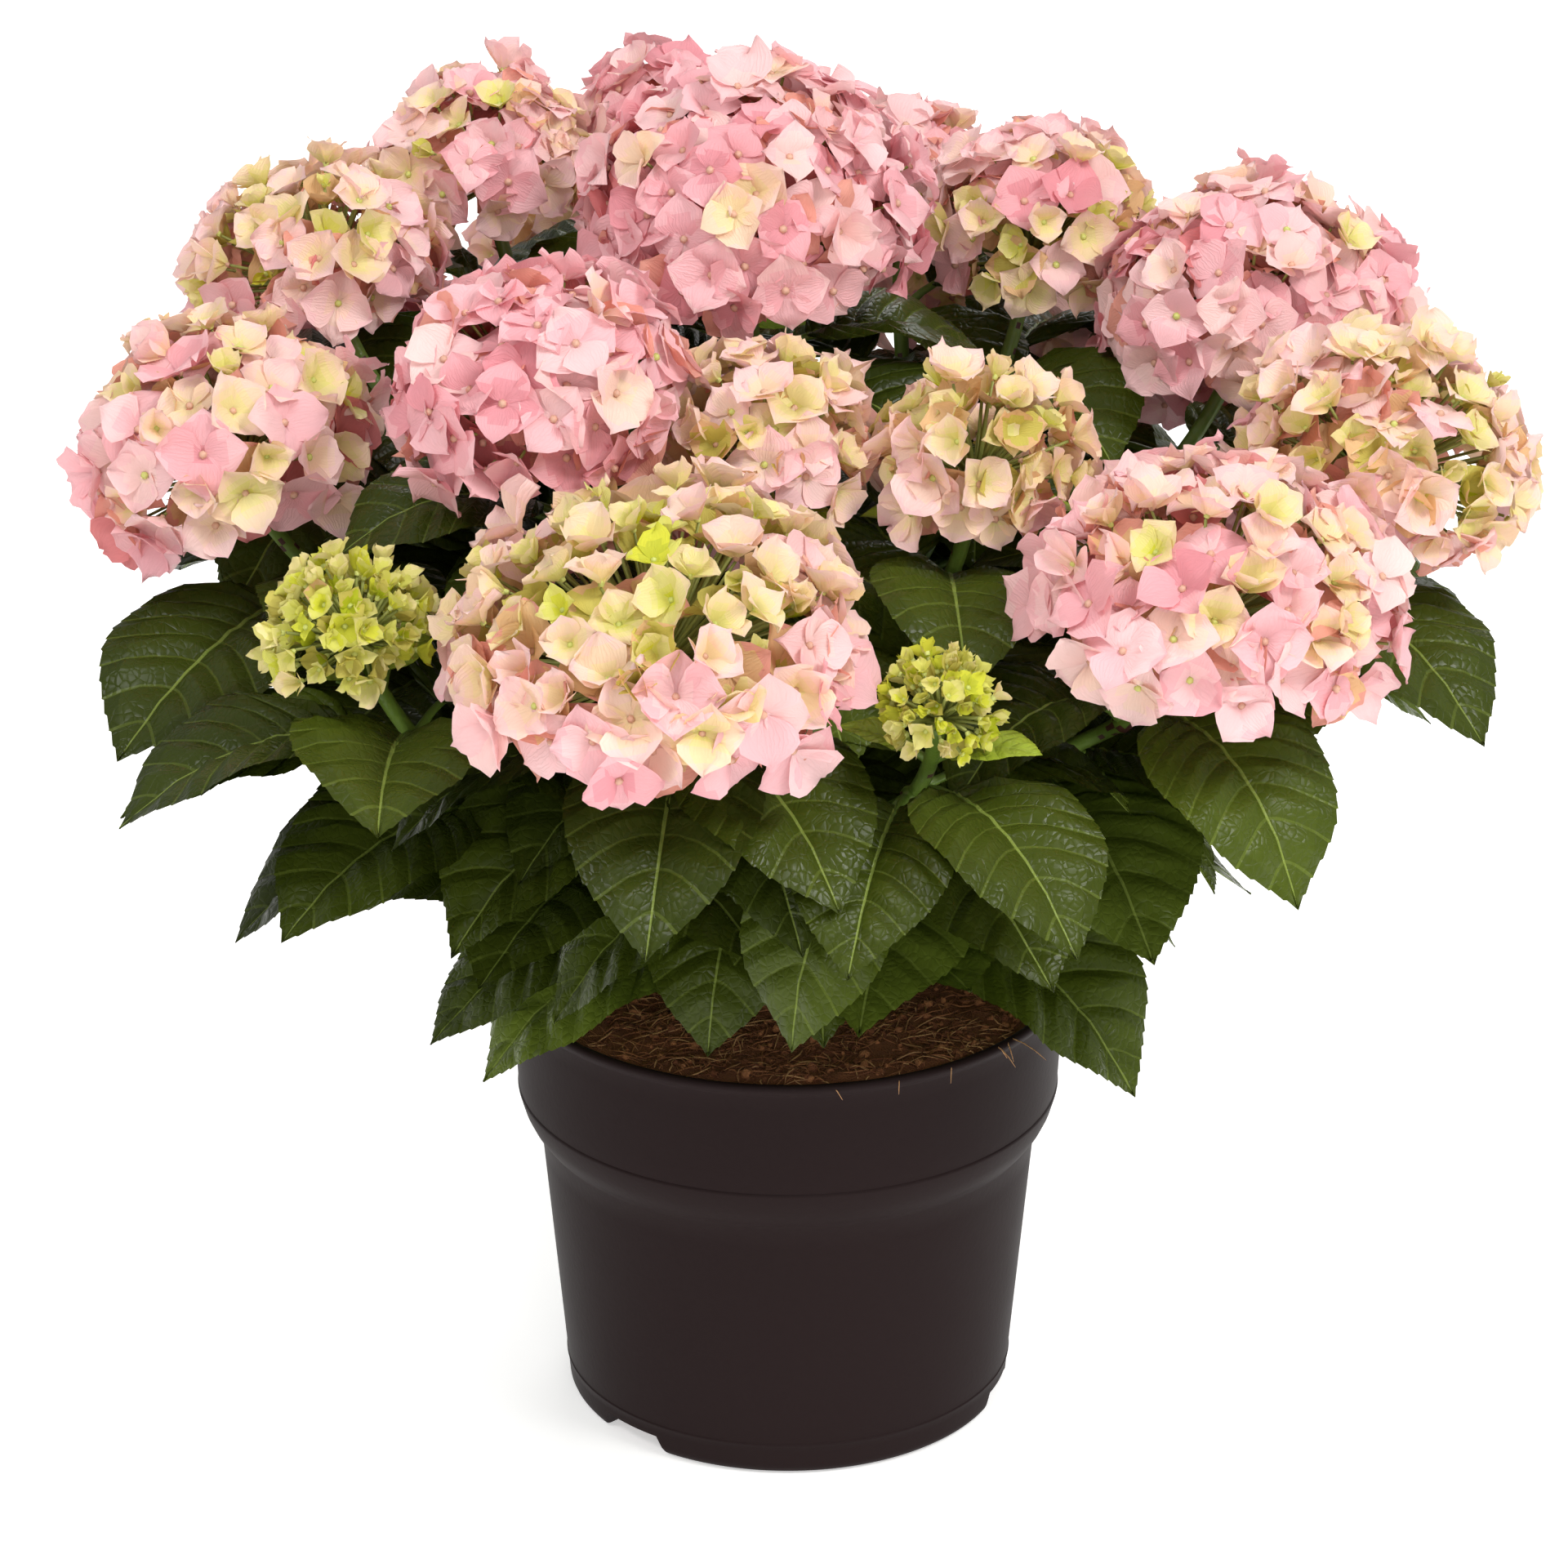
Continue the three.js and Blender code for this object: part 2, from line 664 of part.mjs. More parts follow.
addPart('pot', pot, LOOKS.pot);
addPart('potting_mix', soil, LOOKS.potting_mix);
for (const [name, solid] of boughs) {
  addPart(`bough_${name}`, solid, LOOKS.bough);
}
for (const [name, solid] of foliage) {
  addPart(`foliage_${name}`, solid, LOOKS.foliage);
}
for (const [name, solid] of heads) {
  addPart(`flower_head_${name}`, solid, blossomLook(stems.get(name).row.ripe));
}

export default hydrangea;
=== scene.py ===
# %% [markdown]
# # A mophead hydrangea in its nursery pot
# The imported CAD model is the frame: it holds every shoot's place and size in
# faceted solids. This lesson grows the real plant over it, shoot by shoot, by the
# same rule that placed the solids, and gives each surface its finish.
# All lengths are in metres. The front faces -Y and up is +Z.

# %% Load the frame
import itertools
import math
from collections import namedtuple

import bpy
import numpy as np
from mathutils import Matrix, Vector, noise
from mathutils.kdtree import KDTree


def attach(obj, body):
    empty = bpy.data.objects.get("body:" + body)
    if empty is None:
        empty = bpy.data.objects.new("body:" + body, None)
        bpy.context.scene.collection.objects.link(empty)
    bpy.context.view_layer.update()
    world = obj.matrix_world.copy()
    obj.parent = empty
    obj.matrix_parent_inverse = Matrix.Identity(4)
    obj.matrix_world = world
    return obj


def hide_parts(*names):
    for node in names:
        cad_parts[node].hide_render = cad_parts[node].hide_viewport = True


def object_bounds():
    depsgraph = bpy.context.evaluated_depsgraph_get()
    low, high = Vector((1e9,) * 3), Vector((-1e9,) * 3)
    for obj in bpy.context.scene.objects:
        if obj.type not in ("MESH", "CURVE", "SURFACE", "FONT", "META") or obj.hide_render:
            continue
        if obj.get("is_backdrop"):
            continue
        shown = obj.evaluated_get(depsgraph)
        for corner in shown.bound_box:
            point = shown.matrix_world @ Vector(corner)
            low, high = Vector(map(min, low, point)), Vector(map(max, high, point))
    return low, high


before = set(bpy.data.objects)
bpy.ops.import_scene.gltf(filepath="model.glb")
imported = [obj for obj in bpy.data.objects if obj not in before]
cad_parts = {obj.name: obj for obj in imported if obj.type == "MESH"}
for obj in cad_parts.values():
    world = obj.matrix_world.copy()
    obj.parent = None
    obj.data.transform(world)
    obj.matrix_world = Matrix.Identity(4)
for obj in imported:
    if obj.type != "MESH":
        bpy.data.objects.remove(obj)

cad_low, cad_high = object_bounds()
MM = 0.001
UP = np.array([0.0, 0.0, 1.0])
print("CAD box", [round(high - low, 3) for low, high in zip(cad_low, cad_high)])


def put_in_scene(name, data):
    """A new object with the data, linked to the scene."""
    made = bpy.data.objects.new(name, data)
    bpy.context.scene.collection.objects.link(made)
    return made


# %% [markdown]
# ## Camera
# A long lens far away keeps the pot's sides nearly upright, as a catalogue
# picture of a plant does. The camera looks down a little, so that the domes of
# blossom show their tops and the potting mix shows inside the rim.

# %% Camera
CAMERA_PLACE = (0, -2.6, 1.4205)
CAMERA_DIP = 23.92
CAMERA_LENS = 162
camera_data = bpy.data.cameras.new("portrait_camera")
camera_data.sensor_width = 36
camera_data.lens = CAMERA_LENS
camera_data.shift_x = -0.0025
camera = put_in_scene("portrait_camera", camera_data)
camera.location = CAMERA_PLACE
camera.rotation_euler = (math.radians(90 - CAMERA_DIP), 0, 0)
bpy.context.scene.camera = camera
print("camera", CAMERA_PLACE, "dips", CAMERA_DIP)

# %% [markdown]
# ## Light
# Petals are pale and thin, so hard light would burn them out. Two broad boxes
# stand high at the front left and right, a low one faces the hanging leaves,
# one lights the back, and the room's own white light reaches into the gaps. The
# standard view keeps the pastel colours as they are painted.


# %% Softboxes and room light
def softbox(name, place, aim, width, watts):
    """A square area light that faces a point."""
    data = bpy.data.lights.new(name, "AREA")
    data.shape = "SQUARE"
    data.size = width
    data.energy = watts
    light = put_in_scene(name, data)
    light.location = place
    light.rotation_euler = (Vector(aim) - Vector(place)).to_track_quat("-Z", "Y").to_euler()


CROWN_MIDDLE = (0, 0, 0.36)
softbox("left_softbox", (-1.2, -1.1, 2.4), CROWN_MIDDLE, 0.9, 26)
softbox("right_softbox", (1.4, -1.1, 2.3), CROWN_MIDDLE, 0.9, 43)
softbox("low_softbox", (0.3, -2.9, 1.1), CROWN_MIDDLE, 1.2, 17)
softbox("back_softbox", (0.4, 2.2, 2.0), CROWN_MIDDLE, 1.5, 26)

world = bpy.data.worlds.new("studio_room")
world.use_nodes = True
room = world.node_tree.nodes["Background"]
room.inputs["Color"].default_value = (1.0, 1.0, 1.0, 1)
room.inputs["Strength"].default_value = 0.45
bpy.context.scene.world = world
bpy.context.scene.view_settings.view_transform = "Standard"
print("lights", len(bpy.data.lights))

# %% [markdown]
# ## Shared shader groups
# A finish is more than a colour: the shine wanders over the surface and small
# relief breaks the highlight. These effects are wanted in many materials, so
# each is a node group with named inputs, placed in each material with its own
# values. The groups put out only values; the shader stays in the material.


# %% Group helpers
def new_group(name, inputs, output="Value"):
    """An empty shader group with float inputs and one float output."""
    group = bpy.data.node_groups.new(name, "ShaderNodeTree")
    for label, value in inputs.items():
        socket = group.interface.new_socket(label, in_out="INPUT", socket_type="NodeSocketFloat")
        socket.default_value = value
    group.interface.new_socket(output, in_out="OUTPUT", socket_type="NodeSocketFloat")
    entry = group.nodes.new("NodeGroupInput")
    leave = group.nodes.new("NodeGroupOutput")
    return group, entry, leave


def maths(tree, operation, first, second=None):
    """A Math node fed by sockets or plain numbers; gives its output socket."""
    node = tree.nodes.new("ShaderNodeMath")
    node.operation = operation
    for socket, value in zip(node.inputs, (first, second)):
        if value is None:
            continue
        if isinstance(value, bpy.types.NodeSocket):
            tree.links.new(value, socket)
        else:
            socket.default_value = value
    return node.outputs[0]


# %% Wandering value: a noise that drifts between two levels
drift, entry, leave = new_group("wandering_value", {"Scale": 40.0, "Low": 0.4, "High": 0.6})
place = drift.nodes.new("ShaderNodeTexCoord")
cloud = drift.nodes.new("ShaderNodeTexNoise")
cloud.inputs["Detail"].default_value = 4
drift.links.new(place.outputs["Object"], cloud.inputs["Vector"])
drift.links.new(entry.outputs["Scale"], cloud.inputs["Scale"])
span = drift.nodes.new("ShaderNodeMapRange")
span.inputs["From Min"].default_value = 0.3
span.inputs["From Max"].default_value = 0.7
drift.links.new(cloud.outputs["Fac"], span.inputs["Value"])
drift.links.new(entry.outputs["Low"], span.inputs["To Min"])
drift.links.new(entry.outputs["High"], span.inputs["To Max"])
drift.links.new(span.outputs["Result"], leave.inputs["Value"])

# %% Petal veins: fine lines that fan out from a sepal's foot
veins, entry, leave = new_group("petal_veins", {"Lines": 9.0, "Crinkle": 0.35}, "Height")
chart = veins.nodes.new("ShaderNodeUVMap")
chart.uv_map = "chart"
axes = veins.nodes.new("ShaderNodeSeparateXYZ")
veins.links.new(chart.outputs["UV"], axes.inputs["Vector"])
crease = veins.nodes.new("ShaderNodeTexNoise")
crease.inputs["Scale"].default_value = 5
crease.inputs["Detail"].default_value = 3
veins.links.new(chart.outputs["UV"], crease.inputs["Vector"])
wobble = maths(veins, "MULTIPLY", crease.outputs["Fac"], entry.outputs["Crinkle"])
swayed = maths(veins, "ADD", axes.outputs["X"], wobble)
phase = maths(veins, "MULTIPLY", swayed, entry.outputs["Lines"])
ridge = maths(veins, "SINE", maths(veins, "MULTIPLY", phase, math.pi))
line = maths(veins, "POWER", maths(veins, "ABSOLUTE", ridge), 0.5)
veins.links.new(maths(veins, "ADD", line, wobble), leave.inputs["Height"])

# %% Leaf net: the smallest veins, which cut a leaf into little cushions
net, entry, leave = new_group("leaf_net", {"Scale": 34.0, "Depth": 1.0}, "Height")
chart = net.nodes.new("ShaderNodeUVMap")
chart.uv_map = "chart"
cells = net.nodes.new("ShaderNodeTexVoronoi")
cells.feature = "DISTANCE_TO_EDGE"
net.links.new(chart.outputs["UV"], cells.inputs["Vector"])
net.links.new(entry.outputs["Scale"], cells.inputs["Scale"])
cushion = maths(net, "POWER", maths(net, "MINIMUM", cells.outputs["Distance"], 0.35), 0.6)
net.links.new(maths(net, "MULTIPLY", cushion, entry.outputs["Depth"]), leave.inputs["Height"])
print("shader groups", [group.name for group in bpy.data.node_groups])

# %% [markdown]
# ## Materials
# Each sheet of leaf or petal takes one plain base colour from a short ladder of
# named tones, and the tone changes from leaf to leaf, and in a floret from its
# heart to its rim. Some of these changes are painted light and shade: leaves of
# shoots to the right are lighter, leaves higher up or inside the crown darker,
# the crests between a leaf's side veins a touch paler as a painted highlight,
# the heart of a ripe floret deeper than its rim as painted shade in its cup, and
# florets deep in a head take a short ladder of darker, fuller tones as painted
# shade. The rest is how the plant colours: by organ, not by a pattern across the
# whole bush. Shine and relief come from the shared groups.


# %% Material helpers
def paint(red, green, blue):
    """A screen colour, 0 to 255, as the linear colour that a shader takes."""
    def linear(value):
        share = value / 255
        return share / 12.92 if share <= 0.04045 else ((share + 0.055) / 1.055) ** 2.4
    return (linear(red), linear(green), linear(blue), 1)


def place_group(tree, group, **values):
    """Places a shared group in a material with its own values."""
    node = tree.nodes.new("ShaderNodeGroup")
    node.node_tree = group
    for label, value in values.items():
        node.inputs[label].default_value = value
    return node.outputs[0]


def new_material(name, colour, scale, low, high, specular=0.5):
    """A plain base colour under a shine that wanders between two roughnesses."""
    made = bpy.data.materials.new(name)
    made.use_nodes = True
    tree = made.node_tree
    shader = tree.nodes["Principled BSDF"]
    shader.inputs["Base Color"].default_value = paint(*colour)
    shader.inputs["Specular IOR Level"].default_value = specular
    shine = place_group(tree, drift, Scale=scale, Low=low, High=high)
    tree.links.new(shine, shader.inputs["Roughness"])
    return made, tree, shader


def raise_surface(tree, shader, height, distance, strength=1.0):
    """Feeds a height to the shader's normal; the distance is the relief's size."""
    bump = tree.nodes.new("ShaderNodeBump")
    bump.inputs["Distance"].default_value = distance
    bump.inputs["Strength"].default_value = strength
    tree.links.new(height, bump.inputs["Height"])
    tree.links.new(bump.outputs["Normal"], shader.inputs["Normal"])


# %% Petal tones, from the greenest to the pinkest
def let_light_through(tree, shader, colour, share):
    """Mixes in a Translucent shader of the same colour, for a thin sheet."""
    glow = tree.nodes.new("ShaderNodeBsdfTranslucent")
    glow.inputs["Color"].default_value = paint(*colour)
    mix = tree.nodes.new("ShaderNodeMixShader")
    mix.inputs["Fac"].default_value = share
    tree.links.new(shader.outputs["BSDF"], mix.inputs[1])
    tree.links.new(glow.outputs["BSDF"], mix.inputs[2])
    tree.links.new(mix.outputs["Shader"], tree.nodes["Material Output"].inputs["Surface"])


def petal_material(name, colour):
    made, tree, shader = new_material(name, colour, 120, 0.52, 0.7, specular=0.3)
    raise_surface(tree, shader, place_group(tree, veins, Lines=7), 0.25 * MM, 0.6)
    let_light_through(tree, shader, colour, 0.26)
    return made


PETAL_TONES = {
    "petal_lime_deep": (192, 197, 54),
    "petal_lime": (209, 212, 68),
    "petal_lime_bright": (225, 226, 72),
    "petal_lime_pale": (229, 227, 116),
    "petal_cream_lime": (234, 227, 142),
    "petal_cream_green": (241, 228, 161),
    "petal_cream": (247, 226, 178),
    "petal_cream_blush": (251, 223, 192),
    "petal_blush_pale": (253, 221, 204),
    "petal_blush": (253, 217, 212),
    "petal_rose_pale": (252, 210, 210),
    "petal_rose": (250, 197, 201),
    "petal_rose_warm": (245, 181, 187),
    "petal_rose_deep": (236, 160, 168),
}
# Painted shade: the inner layer of florets, deep in a head, takes these darker and fuller tones for the
# shadow between florets.
INNER_SHADE_TONES = {
    "inner_lime": (196, 204, 44),
    "inner_cream_lime": (214, 202, 102),
    "inner_cream": (234, 194, 144),
    "inner_blush": (236, 168, 150),
    "inner_rose": (224, 138, 138),
}
petals = [petal_material(name, colour) for name, colour in (PETAL_TONES | INNER_SHADE_TONES).items()]


# %% Leaf tones, each with the paler tone of its veins and a painted highlight on its cushions
def leaf_material(name, colour):
    made, tree, shader = new_material(name, colour, 60, 0.23, 0.37, specular=0.16)
    raise_surface(tree, shader, place_group(tree, net, Scale=30), 0.7 * MM, 0.6)
    return made


LEAF_TONES = {
    "deep": (46, 55, 12),
    "dark": (55, 65, 14),
    "green": (66, 78, 19),
    "light": (79, 93, 28),
    "fresh": (98, 114, 38),
    "young": (146, 164, 52),
}
# Side veins and midrib are paler in fact; the cushion's paleness is a painted highlight on the crests between
# the veins.
VEIN_PALENESS = {"leaf": 0.0, "side_vein": 0.2, "midrib": 0.5, "cushion": 0.04}
MIDRIB_COLOUR = (178, 196, 104)


def paler(colour, share):
    return tuple(tone + (pale - tone) * share for tone, pale in zip(colour, MIDRIB_COLOUR))


leaf_looks = []
for part, paleness in VEIN_PALENESS.items():
    for name, colour in LEAF_TONES.items():
        leaf_looks.append(leaf_material(part + "_" + name, paler(colour, paleness)))


# %% Stem, bark, pedicel and bead tones
def plain_grain(name, colour, low, high, scale, relief):
    """A material whose shine and small relief follow one wandering value."""
    made, tree, shader = new_material(name, colour, scale, low, high)
    grain = place_group(tree, drift, Scale=scale * 6, Low=0, High=1)
    raise_surface(tree, shader, grain, relief)
    return made


stem_green = plain_grain("stem_green", (98, 124, 44), 0.35, 0.5, 60, 0.2 * MM)
stem_mark = plain_grain("stem_mark", (72, 38, 30), 0.45, 0.6, 60, 0.2 * MM)
bark_brown = plain_grain("bark_brown", (84, 60, 40), 0.7, 0.9, 90, 0.6 * MM)
bark_ridge = plain_grain("bark_ridge", (112, 86, 58), 0.7, 0.9, 90, 0.6 * MM)
pedicel_green = plain_grain("pedicel_green", (150, 156, 78), 0.5, 0.6, 80, 0.1 * MM)
bead_green = plain_grain("bead_green", (196, 202, 112), 0.4, 0.55, 200, 0.1 * MM)
bead_rose = plain_grain("bead_rose", (208, 164, 140), 0.4, 0.55, 200, 0.1 * MM)
print("materials", len(bpy.data.materials))

# %% [markdown]
# ## Gathering small shapes
# A bush is thousands of small shapes. Each shape is a little grid of points, and
# all shapes of one kind are gathered into one mesh, with a material index for
# each face. That keeps the scene light, and nothing depends on instances.


# %% Gatherer
class Gather:
    """Small shapes of one kind that become one mesh. A face has four corners,
    and the last is -1 in a triangle."""

    def __init__(self):
        self.points = []
        self.charts = []
        self.faces = []
        self.kinds = []
        self.count = 0

    def add(self, points, faces, kinds=0, charts=None):
        self.points.append(points)
        self.charts.append(np.zeros((len(points), 2)) if charts is None else charts)
        self.faces.append(np.where(faces < 0, -1, faces + self.count))
        self.kinds.append(np.broadcast_to(kinds, len(faces)))
        self.count += len(points)


def make_piece(name, gather, materials, stands_for=()):
    """One mesh from what was gathered, riding on the row's only body."""
    faces = np.concatenate(gather.faces).tolist()
    mesh = bpy.data.meshes.new(name)
    mesh.from_pydata(np.concatenate(gather.points), [],
                     [face if face[3] >= 0 else face[:3] for face in faces])
    corners = np.empty(len(mesh.loops), int)
    mesh.loops.foreach_get("vertex_index", corners)
    chart = mesh.uv_layers.new(name="chart")
    chart.data.foreach_set("uv", np.concatenate(gather.charts)[corners].ravel())
    for material in materials:
        mesh.materials.append(material)
    mesh.polygons.foreach_set("material_index", np.concatenate(gather.kinds))
    mesh.shade_smooth()
    mesh.update()
    piece = put_in_scene(name, mesh)
    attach(piece, "root")
    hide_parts(*stands_for)
    triangles = sum(len(face.vertices) - 2 for face in mesh.polygons)
    print(name, "triangles", triangles)
    return piece


# %% Grids and tubes
def grid_faces(rows, columns, closed=False):
    """The quads between points counted row by row; closed joins the last
    column to the first."""
    here = np.arange(rows * columns).reshape(rows, columns)
    after = np.roll(here, -1, axis=1)
    if not closed:
        here = here[:, :-1]
        after = after[:, :-1]
    quads = [here[:-1], after[:-1], after[1:], here[1:]]
    return np.stack([corner.ravel() for corner in quads], axis=1)


def fan_faces(first, count, tip, closed=False):
    """Triangles from a row of points to one tip point."""
    ring = np.arange(first, first + count)
    after = np.roll(ring, -1)
    if not closed:
        ring = ring[:-1]
        after = after[:-1]
    return np.stack([ring, after, np.full(len(ring), tip), np.full(len(ring), -1)], axis=1)


def capped_faces(rows, columns, closed=False):
    """A grid's faces, closed by one more point beyond its last row."""
    grid = grid_faces(rows, columns, closed)
    return np.vstack([grid, fan_faces((rows - 1) * columns, columns, rows * columns, closed)])


def unit(vector):
    return vector / np.linalg.norm(vector, axis=-1, keepdims=True)


def tube(path, radii, sides, ruffle=None):
    """A round skin about a path, closed by a point at its end. The ruffle
    scales each point's radius."""
    along = unit(np.gradient(path, axis=0))
    mean = along.mean(axis=0)
    reference = np.eye(3)[np.argmin(np.abs(mean))]
    side = unit(np.cross(along, reference))
    other = np.cross(along, side)
    angles = np.arange(sides) / sides * math.tau
    rounds = np.cos(angles)[None, :, None] * side[:, None] + np.sin(angles)[None, :, None] * other[:, None]
    reach = np.asarray(radii)[:, None] * np.ones(sides)
    if ruffle is not None:
        reach = reach * ruffle
    skin = path[:, None] + rounds * reach[:, :, None]
    points = np.vstack([skin.reshape(-1, 3), path[-1]])
    return points, capped_faces(len(path), sides, closed=True)


# %% [markdown]
# ## The shoots
# A mophead hydrangea is a clump of upright shoots. Each shoot carries crossed
# pairs of leaves and ends in one domed flower head. The table and the rule below
# are the CAD source's own, written again in Python, so every limb grows where
# its solid stands.

# %% The table of shoots
Shoot = namedtuple("Shoot", "name bearing reach height across half leafy pairs leaf hang turn origin",
                   defaults=(None,))
SHOOTS = [
    Shoot("front", -14, 202, 415, 166, 50, 212, 4, 146, 56, -62),
    Shoot("front_bud", 15, 219, 393, 48, 22, 214, 4, 140, 46, 28),
    Shoot("right_front", 47, 220, 414, 150, 48, 210, 4, 148, 60, 40),
    Shoot("left", -81, 223, 432, 126, 48, 218, 4, 158, 24, -86),
    Shoot("right", 77, 239, 434, 118, 46, 216, 4, 150, 40, 92),
    Shoot("left_inner", -47, 129, 474, 126, 46, 250, 3, 132, 40, -64),
    Shoot("left_bud", -45, 232, 406, 64, 28, 236, 3, 146, 30, -74, "left_inner"),
    Shoot("middle", -7, 81, 448, 90, 36, 262, 3, 124, 44, 10),
    Shoot("middle_right", 41, 112, 443, 88, 36, 256, 3, 128, 44, 74),
    Shoot("top", -152, 34, 507, 146, 56, 330, 3, 124, 36, 60),
    Shoot("right_high", 109, 200, 453, 142, 50, 240, 4, 142, 34, 58),
    Shoot("left_high", -112, 204, 467, 108, 40, 236, 4, 146, 30, -66),
    Shoot("left_rear", -140, 196, 483, 104, 38, 262, 3, 132, 40, -150),
    Shoot("right_rear", 140, 158, 464, 102, 44, 262, 3, 132, 40, 150),
    Shoot("rear_inner_left", -164, 192, 490, 74, 30, 340, 2, 112, 30, 180, "left_rear"),
    Shoot("rear_inner_right", 165, 189, 463, 86, 36, 340, 2, 112, 30, 140, "right_rear"),
    Shoot("rear_low_left", -132, 268, 392, 122, 44, 212, 4, 146, 46, -128),
    Shoot("rear_left", -163, 262, 402, 136, 46, 212, 4, 146, 56, -160),
    Shoot("rear_right", 160, 266, 392, 132, 46, 212, 4, 146, 56, 160),
    Shoot("rear_low_right", 131, 264, 384, 130, 46, 212, 4, 146, 46, 130),
]
WOOD = {"foot": 5.4, "tip": 4.0}
GREEN = {"foot": 3.8, "tip": 3.0}
CLUMP = {"inner": 6, "outer": 50}
LEAN = {"reach": 240, "angle": 24}
BEND = {"rise": 0.5, "follow": 0.34}
SOIL_HEIGHT = 184
GAP = 0.3
STALK_LENGTH = 16
HEAD_UNDERSIDE = 0.5


# %% A shoot's line: a curve from the potting mix to its flower head
def heading(bearing):
    """The level direction of a bearing: 0 is the front, 90 the right."""
    angle = math.radians(bearing)
    return np.array([math.sin(angle), -math.cos(angle), 0.0])


def lerp(low, high, share):
    return low + (high - low) * share


class Line:
    """A cubic Bezier curve."""

    def __init__(self, *controls):
        self.controls = np.array(controls)

    def at(self, share):
        t = np.asarray(share, float)[..., None]
        a, b, c, d = self.controls
        return (1 - t) ** 3 * a + 3 * (1 - t) ** 2 * t * b + 3 * (1 - t) * t ** 2 * c + t ** 3 * d

    def along(self, share):
        return unit(self.at(share + 1e-4) - self.at(share - 1e-4))

    def length(self):
        return np.linalg.norm(np.diff(self.at(np.linspace(0, 1, 201)), axis=0), axis=1).sum()

    def share_at_height(self, height):
        low, high = 0.0, 1.0
        for _ in range(30):
            middle = (low + high) / 2
            if self.at(middle)[2] < height:
                low = middle
            else:
                high = middle
        return (low + high) / 2


def head_frame(shoot):
    """Where a flower head's middle is and the way its axis points."""
    out = heading(shoot.bearing)
    lean = math.radians(LEAN["angle"] * shoot.reach / LEAN["reach"])
    axis = UP * math.cos(lean) + out * math.sin(lean)
    return out * shoot.reach + UP * shoot.height, axis


def shoot_line(shoot, foot, rising):
    middle, axis = head_frame(shoot)
    top = middle - axis * shoot.half * HEAD_UNDERSIDE
    length = np.linalg.norm(top - foot)
    return Line(foot, foot + rising * length * BEND["rise"], top - axis * length * BEND["follow"], top)


# %% Every stem, the boughs' own before the side shoots
Stem = namedtuple("Stem", "shoot line start end rooted")
stems = {}
for shoot in [each for each in SHOOTS if not each.origin]:
    share = min(shoot.reach / LEAN["reach"], 1) ** 2
    foot = heading(shoot.bearing) * lerp(CLUMP["inner"], CLUMP["outer"], share)
    line = shoot_line(shoot, foot + UP * (SOIL_HEIGHT + GAP), UP)
    start = line.share_at_height(shoot.leafy - 8)
    stems[shoot.name] = Stem(shoot, line, start, 1 - STALK_LENGTH / line.length(), True)
for shoot in [each for each in SHOOTS if each.origin]:
    bough = stems[shoot.origin].line
    share = bough.share_at_height(shoot.leafy - 16)
    along = bough.along(share)
    out = (head_frame(shoot)[0] - bough.at(share)) * (1, 1, 0)
    out = unit(out - along * (out @ along))
    foot = bough.at(share) + out * (WOOD["foot"] + GAP)
    line = shoot_line(shoot, foot, unit(along + out))
    stems[shoot.name] = Stem(shoot, line, 0.0, 1 - STALK_LENGTH / line.length(), False)
print("stems", len(stems))

# %% [markdown]
# ## Leaves in place
# A leaf that would cut through a neighbour was turned, lowered or shortened by
# the CAD source until it was clear. Its solid's tip tells which try was taken:
# only one of the tries ends where the solid has a corner. So the same tries are
# made here in the same order, and each is looked up among the node's corners.

# %% The rule of the leaves
Leaf = namedtuple("Leaf", "root out length rise hang")
PETIOLE = 0.22
RISE = 26
JITTER = 7
PAIR_LENGTHS = (0.96, 1, 0.92, 0.78)
# What a leaf's length is multiplied by, how far it drops and how far it turns.
TRIES = ((1, 0.86, 0.72, 0.58), (0, 13, -18), (0, 15, -15, 30, -30, 44, -44))
FIRST_SEED = 500
TIP_TOLERANCE = 0.3 * MM


def random_row(seed):
    """An endless row of even random numbers that depends on the seed alone."""
    state = seed
    while True:
        state = (state * 1664525 + 1013904223) % 2 ** 32
        yield (state >> 8) / 16777216


def leaf_pitch(leaf, share):
    return np.radians(lerp(leaf.rise, -leaf.hang, np.minimum(np.asarray(share) * 1.15, 1)))


def leaf_reach(leaf, steps):
    """How far out and up the leaf's middle line has come after each step."""
    middles = (np.arange(steps) + 0.5) / steps
    pitch = leaf_pitch(leaf, middles)
    out = np.concatenate([[0], np.cumsum(np.cos(pitch))]) * leaf.length / steps
    up = np.concatenate([[0], np.cumsum(np.sin(pitch))]) * leaf.length / steps
    return out, up


def leaf_line(leaf, shares, steps):
    """Points on a leaf's middle line, which is counted in so many steps, and the
    way up from the blade at each."""
    out, up = leaf_reach(leaf, steps)
    marks = np.linspace(0, 1, steps + 1)
    along = np.interp(shares, marks, out)[:, None] * leaf.out
    points = leaf.root + along + np.interp(shares, marks, up)[:, None] * UP
    pitch = leaf_pitch(leaf, shares)[:, None]
    return points, UP * np.cos(pitch) - leaf.out * np.sin(pitch)


def leaf_wishes(stem, seed):
    """The leaves that a shoot would like to have, with the pair of each."""
    random = random_row(seed)
    shoot = stem.shoot
    for pair in range(shoot.pairs):
        share = lerp(stem.start, stem.end, (pair + 0.25) / shoot.pairs)
        for side in (0, 180):
            turn = shoot.turn + 90 * pair + side + JITTER * (2 * next(random) - 1)
            length = shoot.leaf * PAIR_LENGTHS[pair] * lerp(0.93, 1.05, next(random))
            rise = RISE + JITTER * (2 * next(random) - 1)
            hang = shoot.hang + JITTER * (2 * next(random) - 1)
            yield pair, turn, Leaf(stem.line.at(share), None, length, rise, hang)


def leaf_tries(turn, wish, tries):
    """The leaf as wished, then turned, dropped and shortened."""
    for length, drop, extra in itertools.product(*tries):
        yield Leaf(wish.root, heading(turn + extra), wish.length * length, wish.rise - drop, wish.hang + drop)


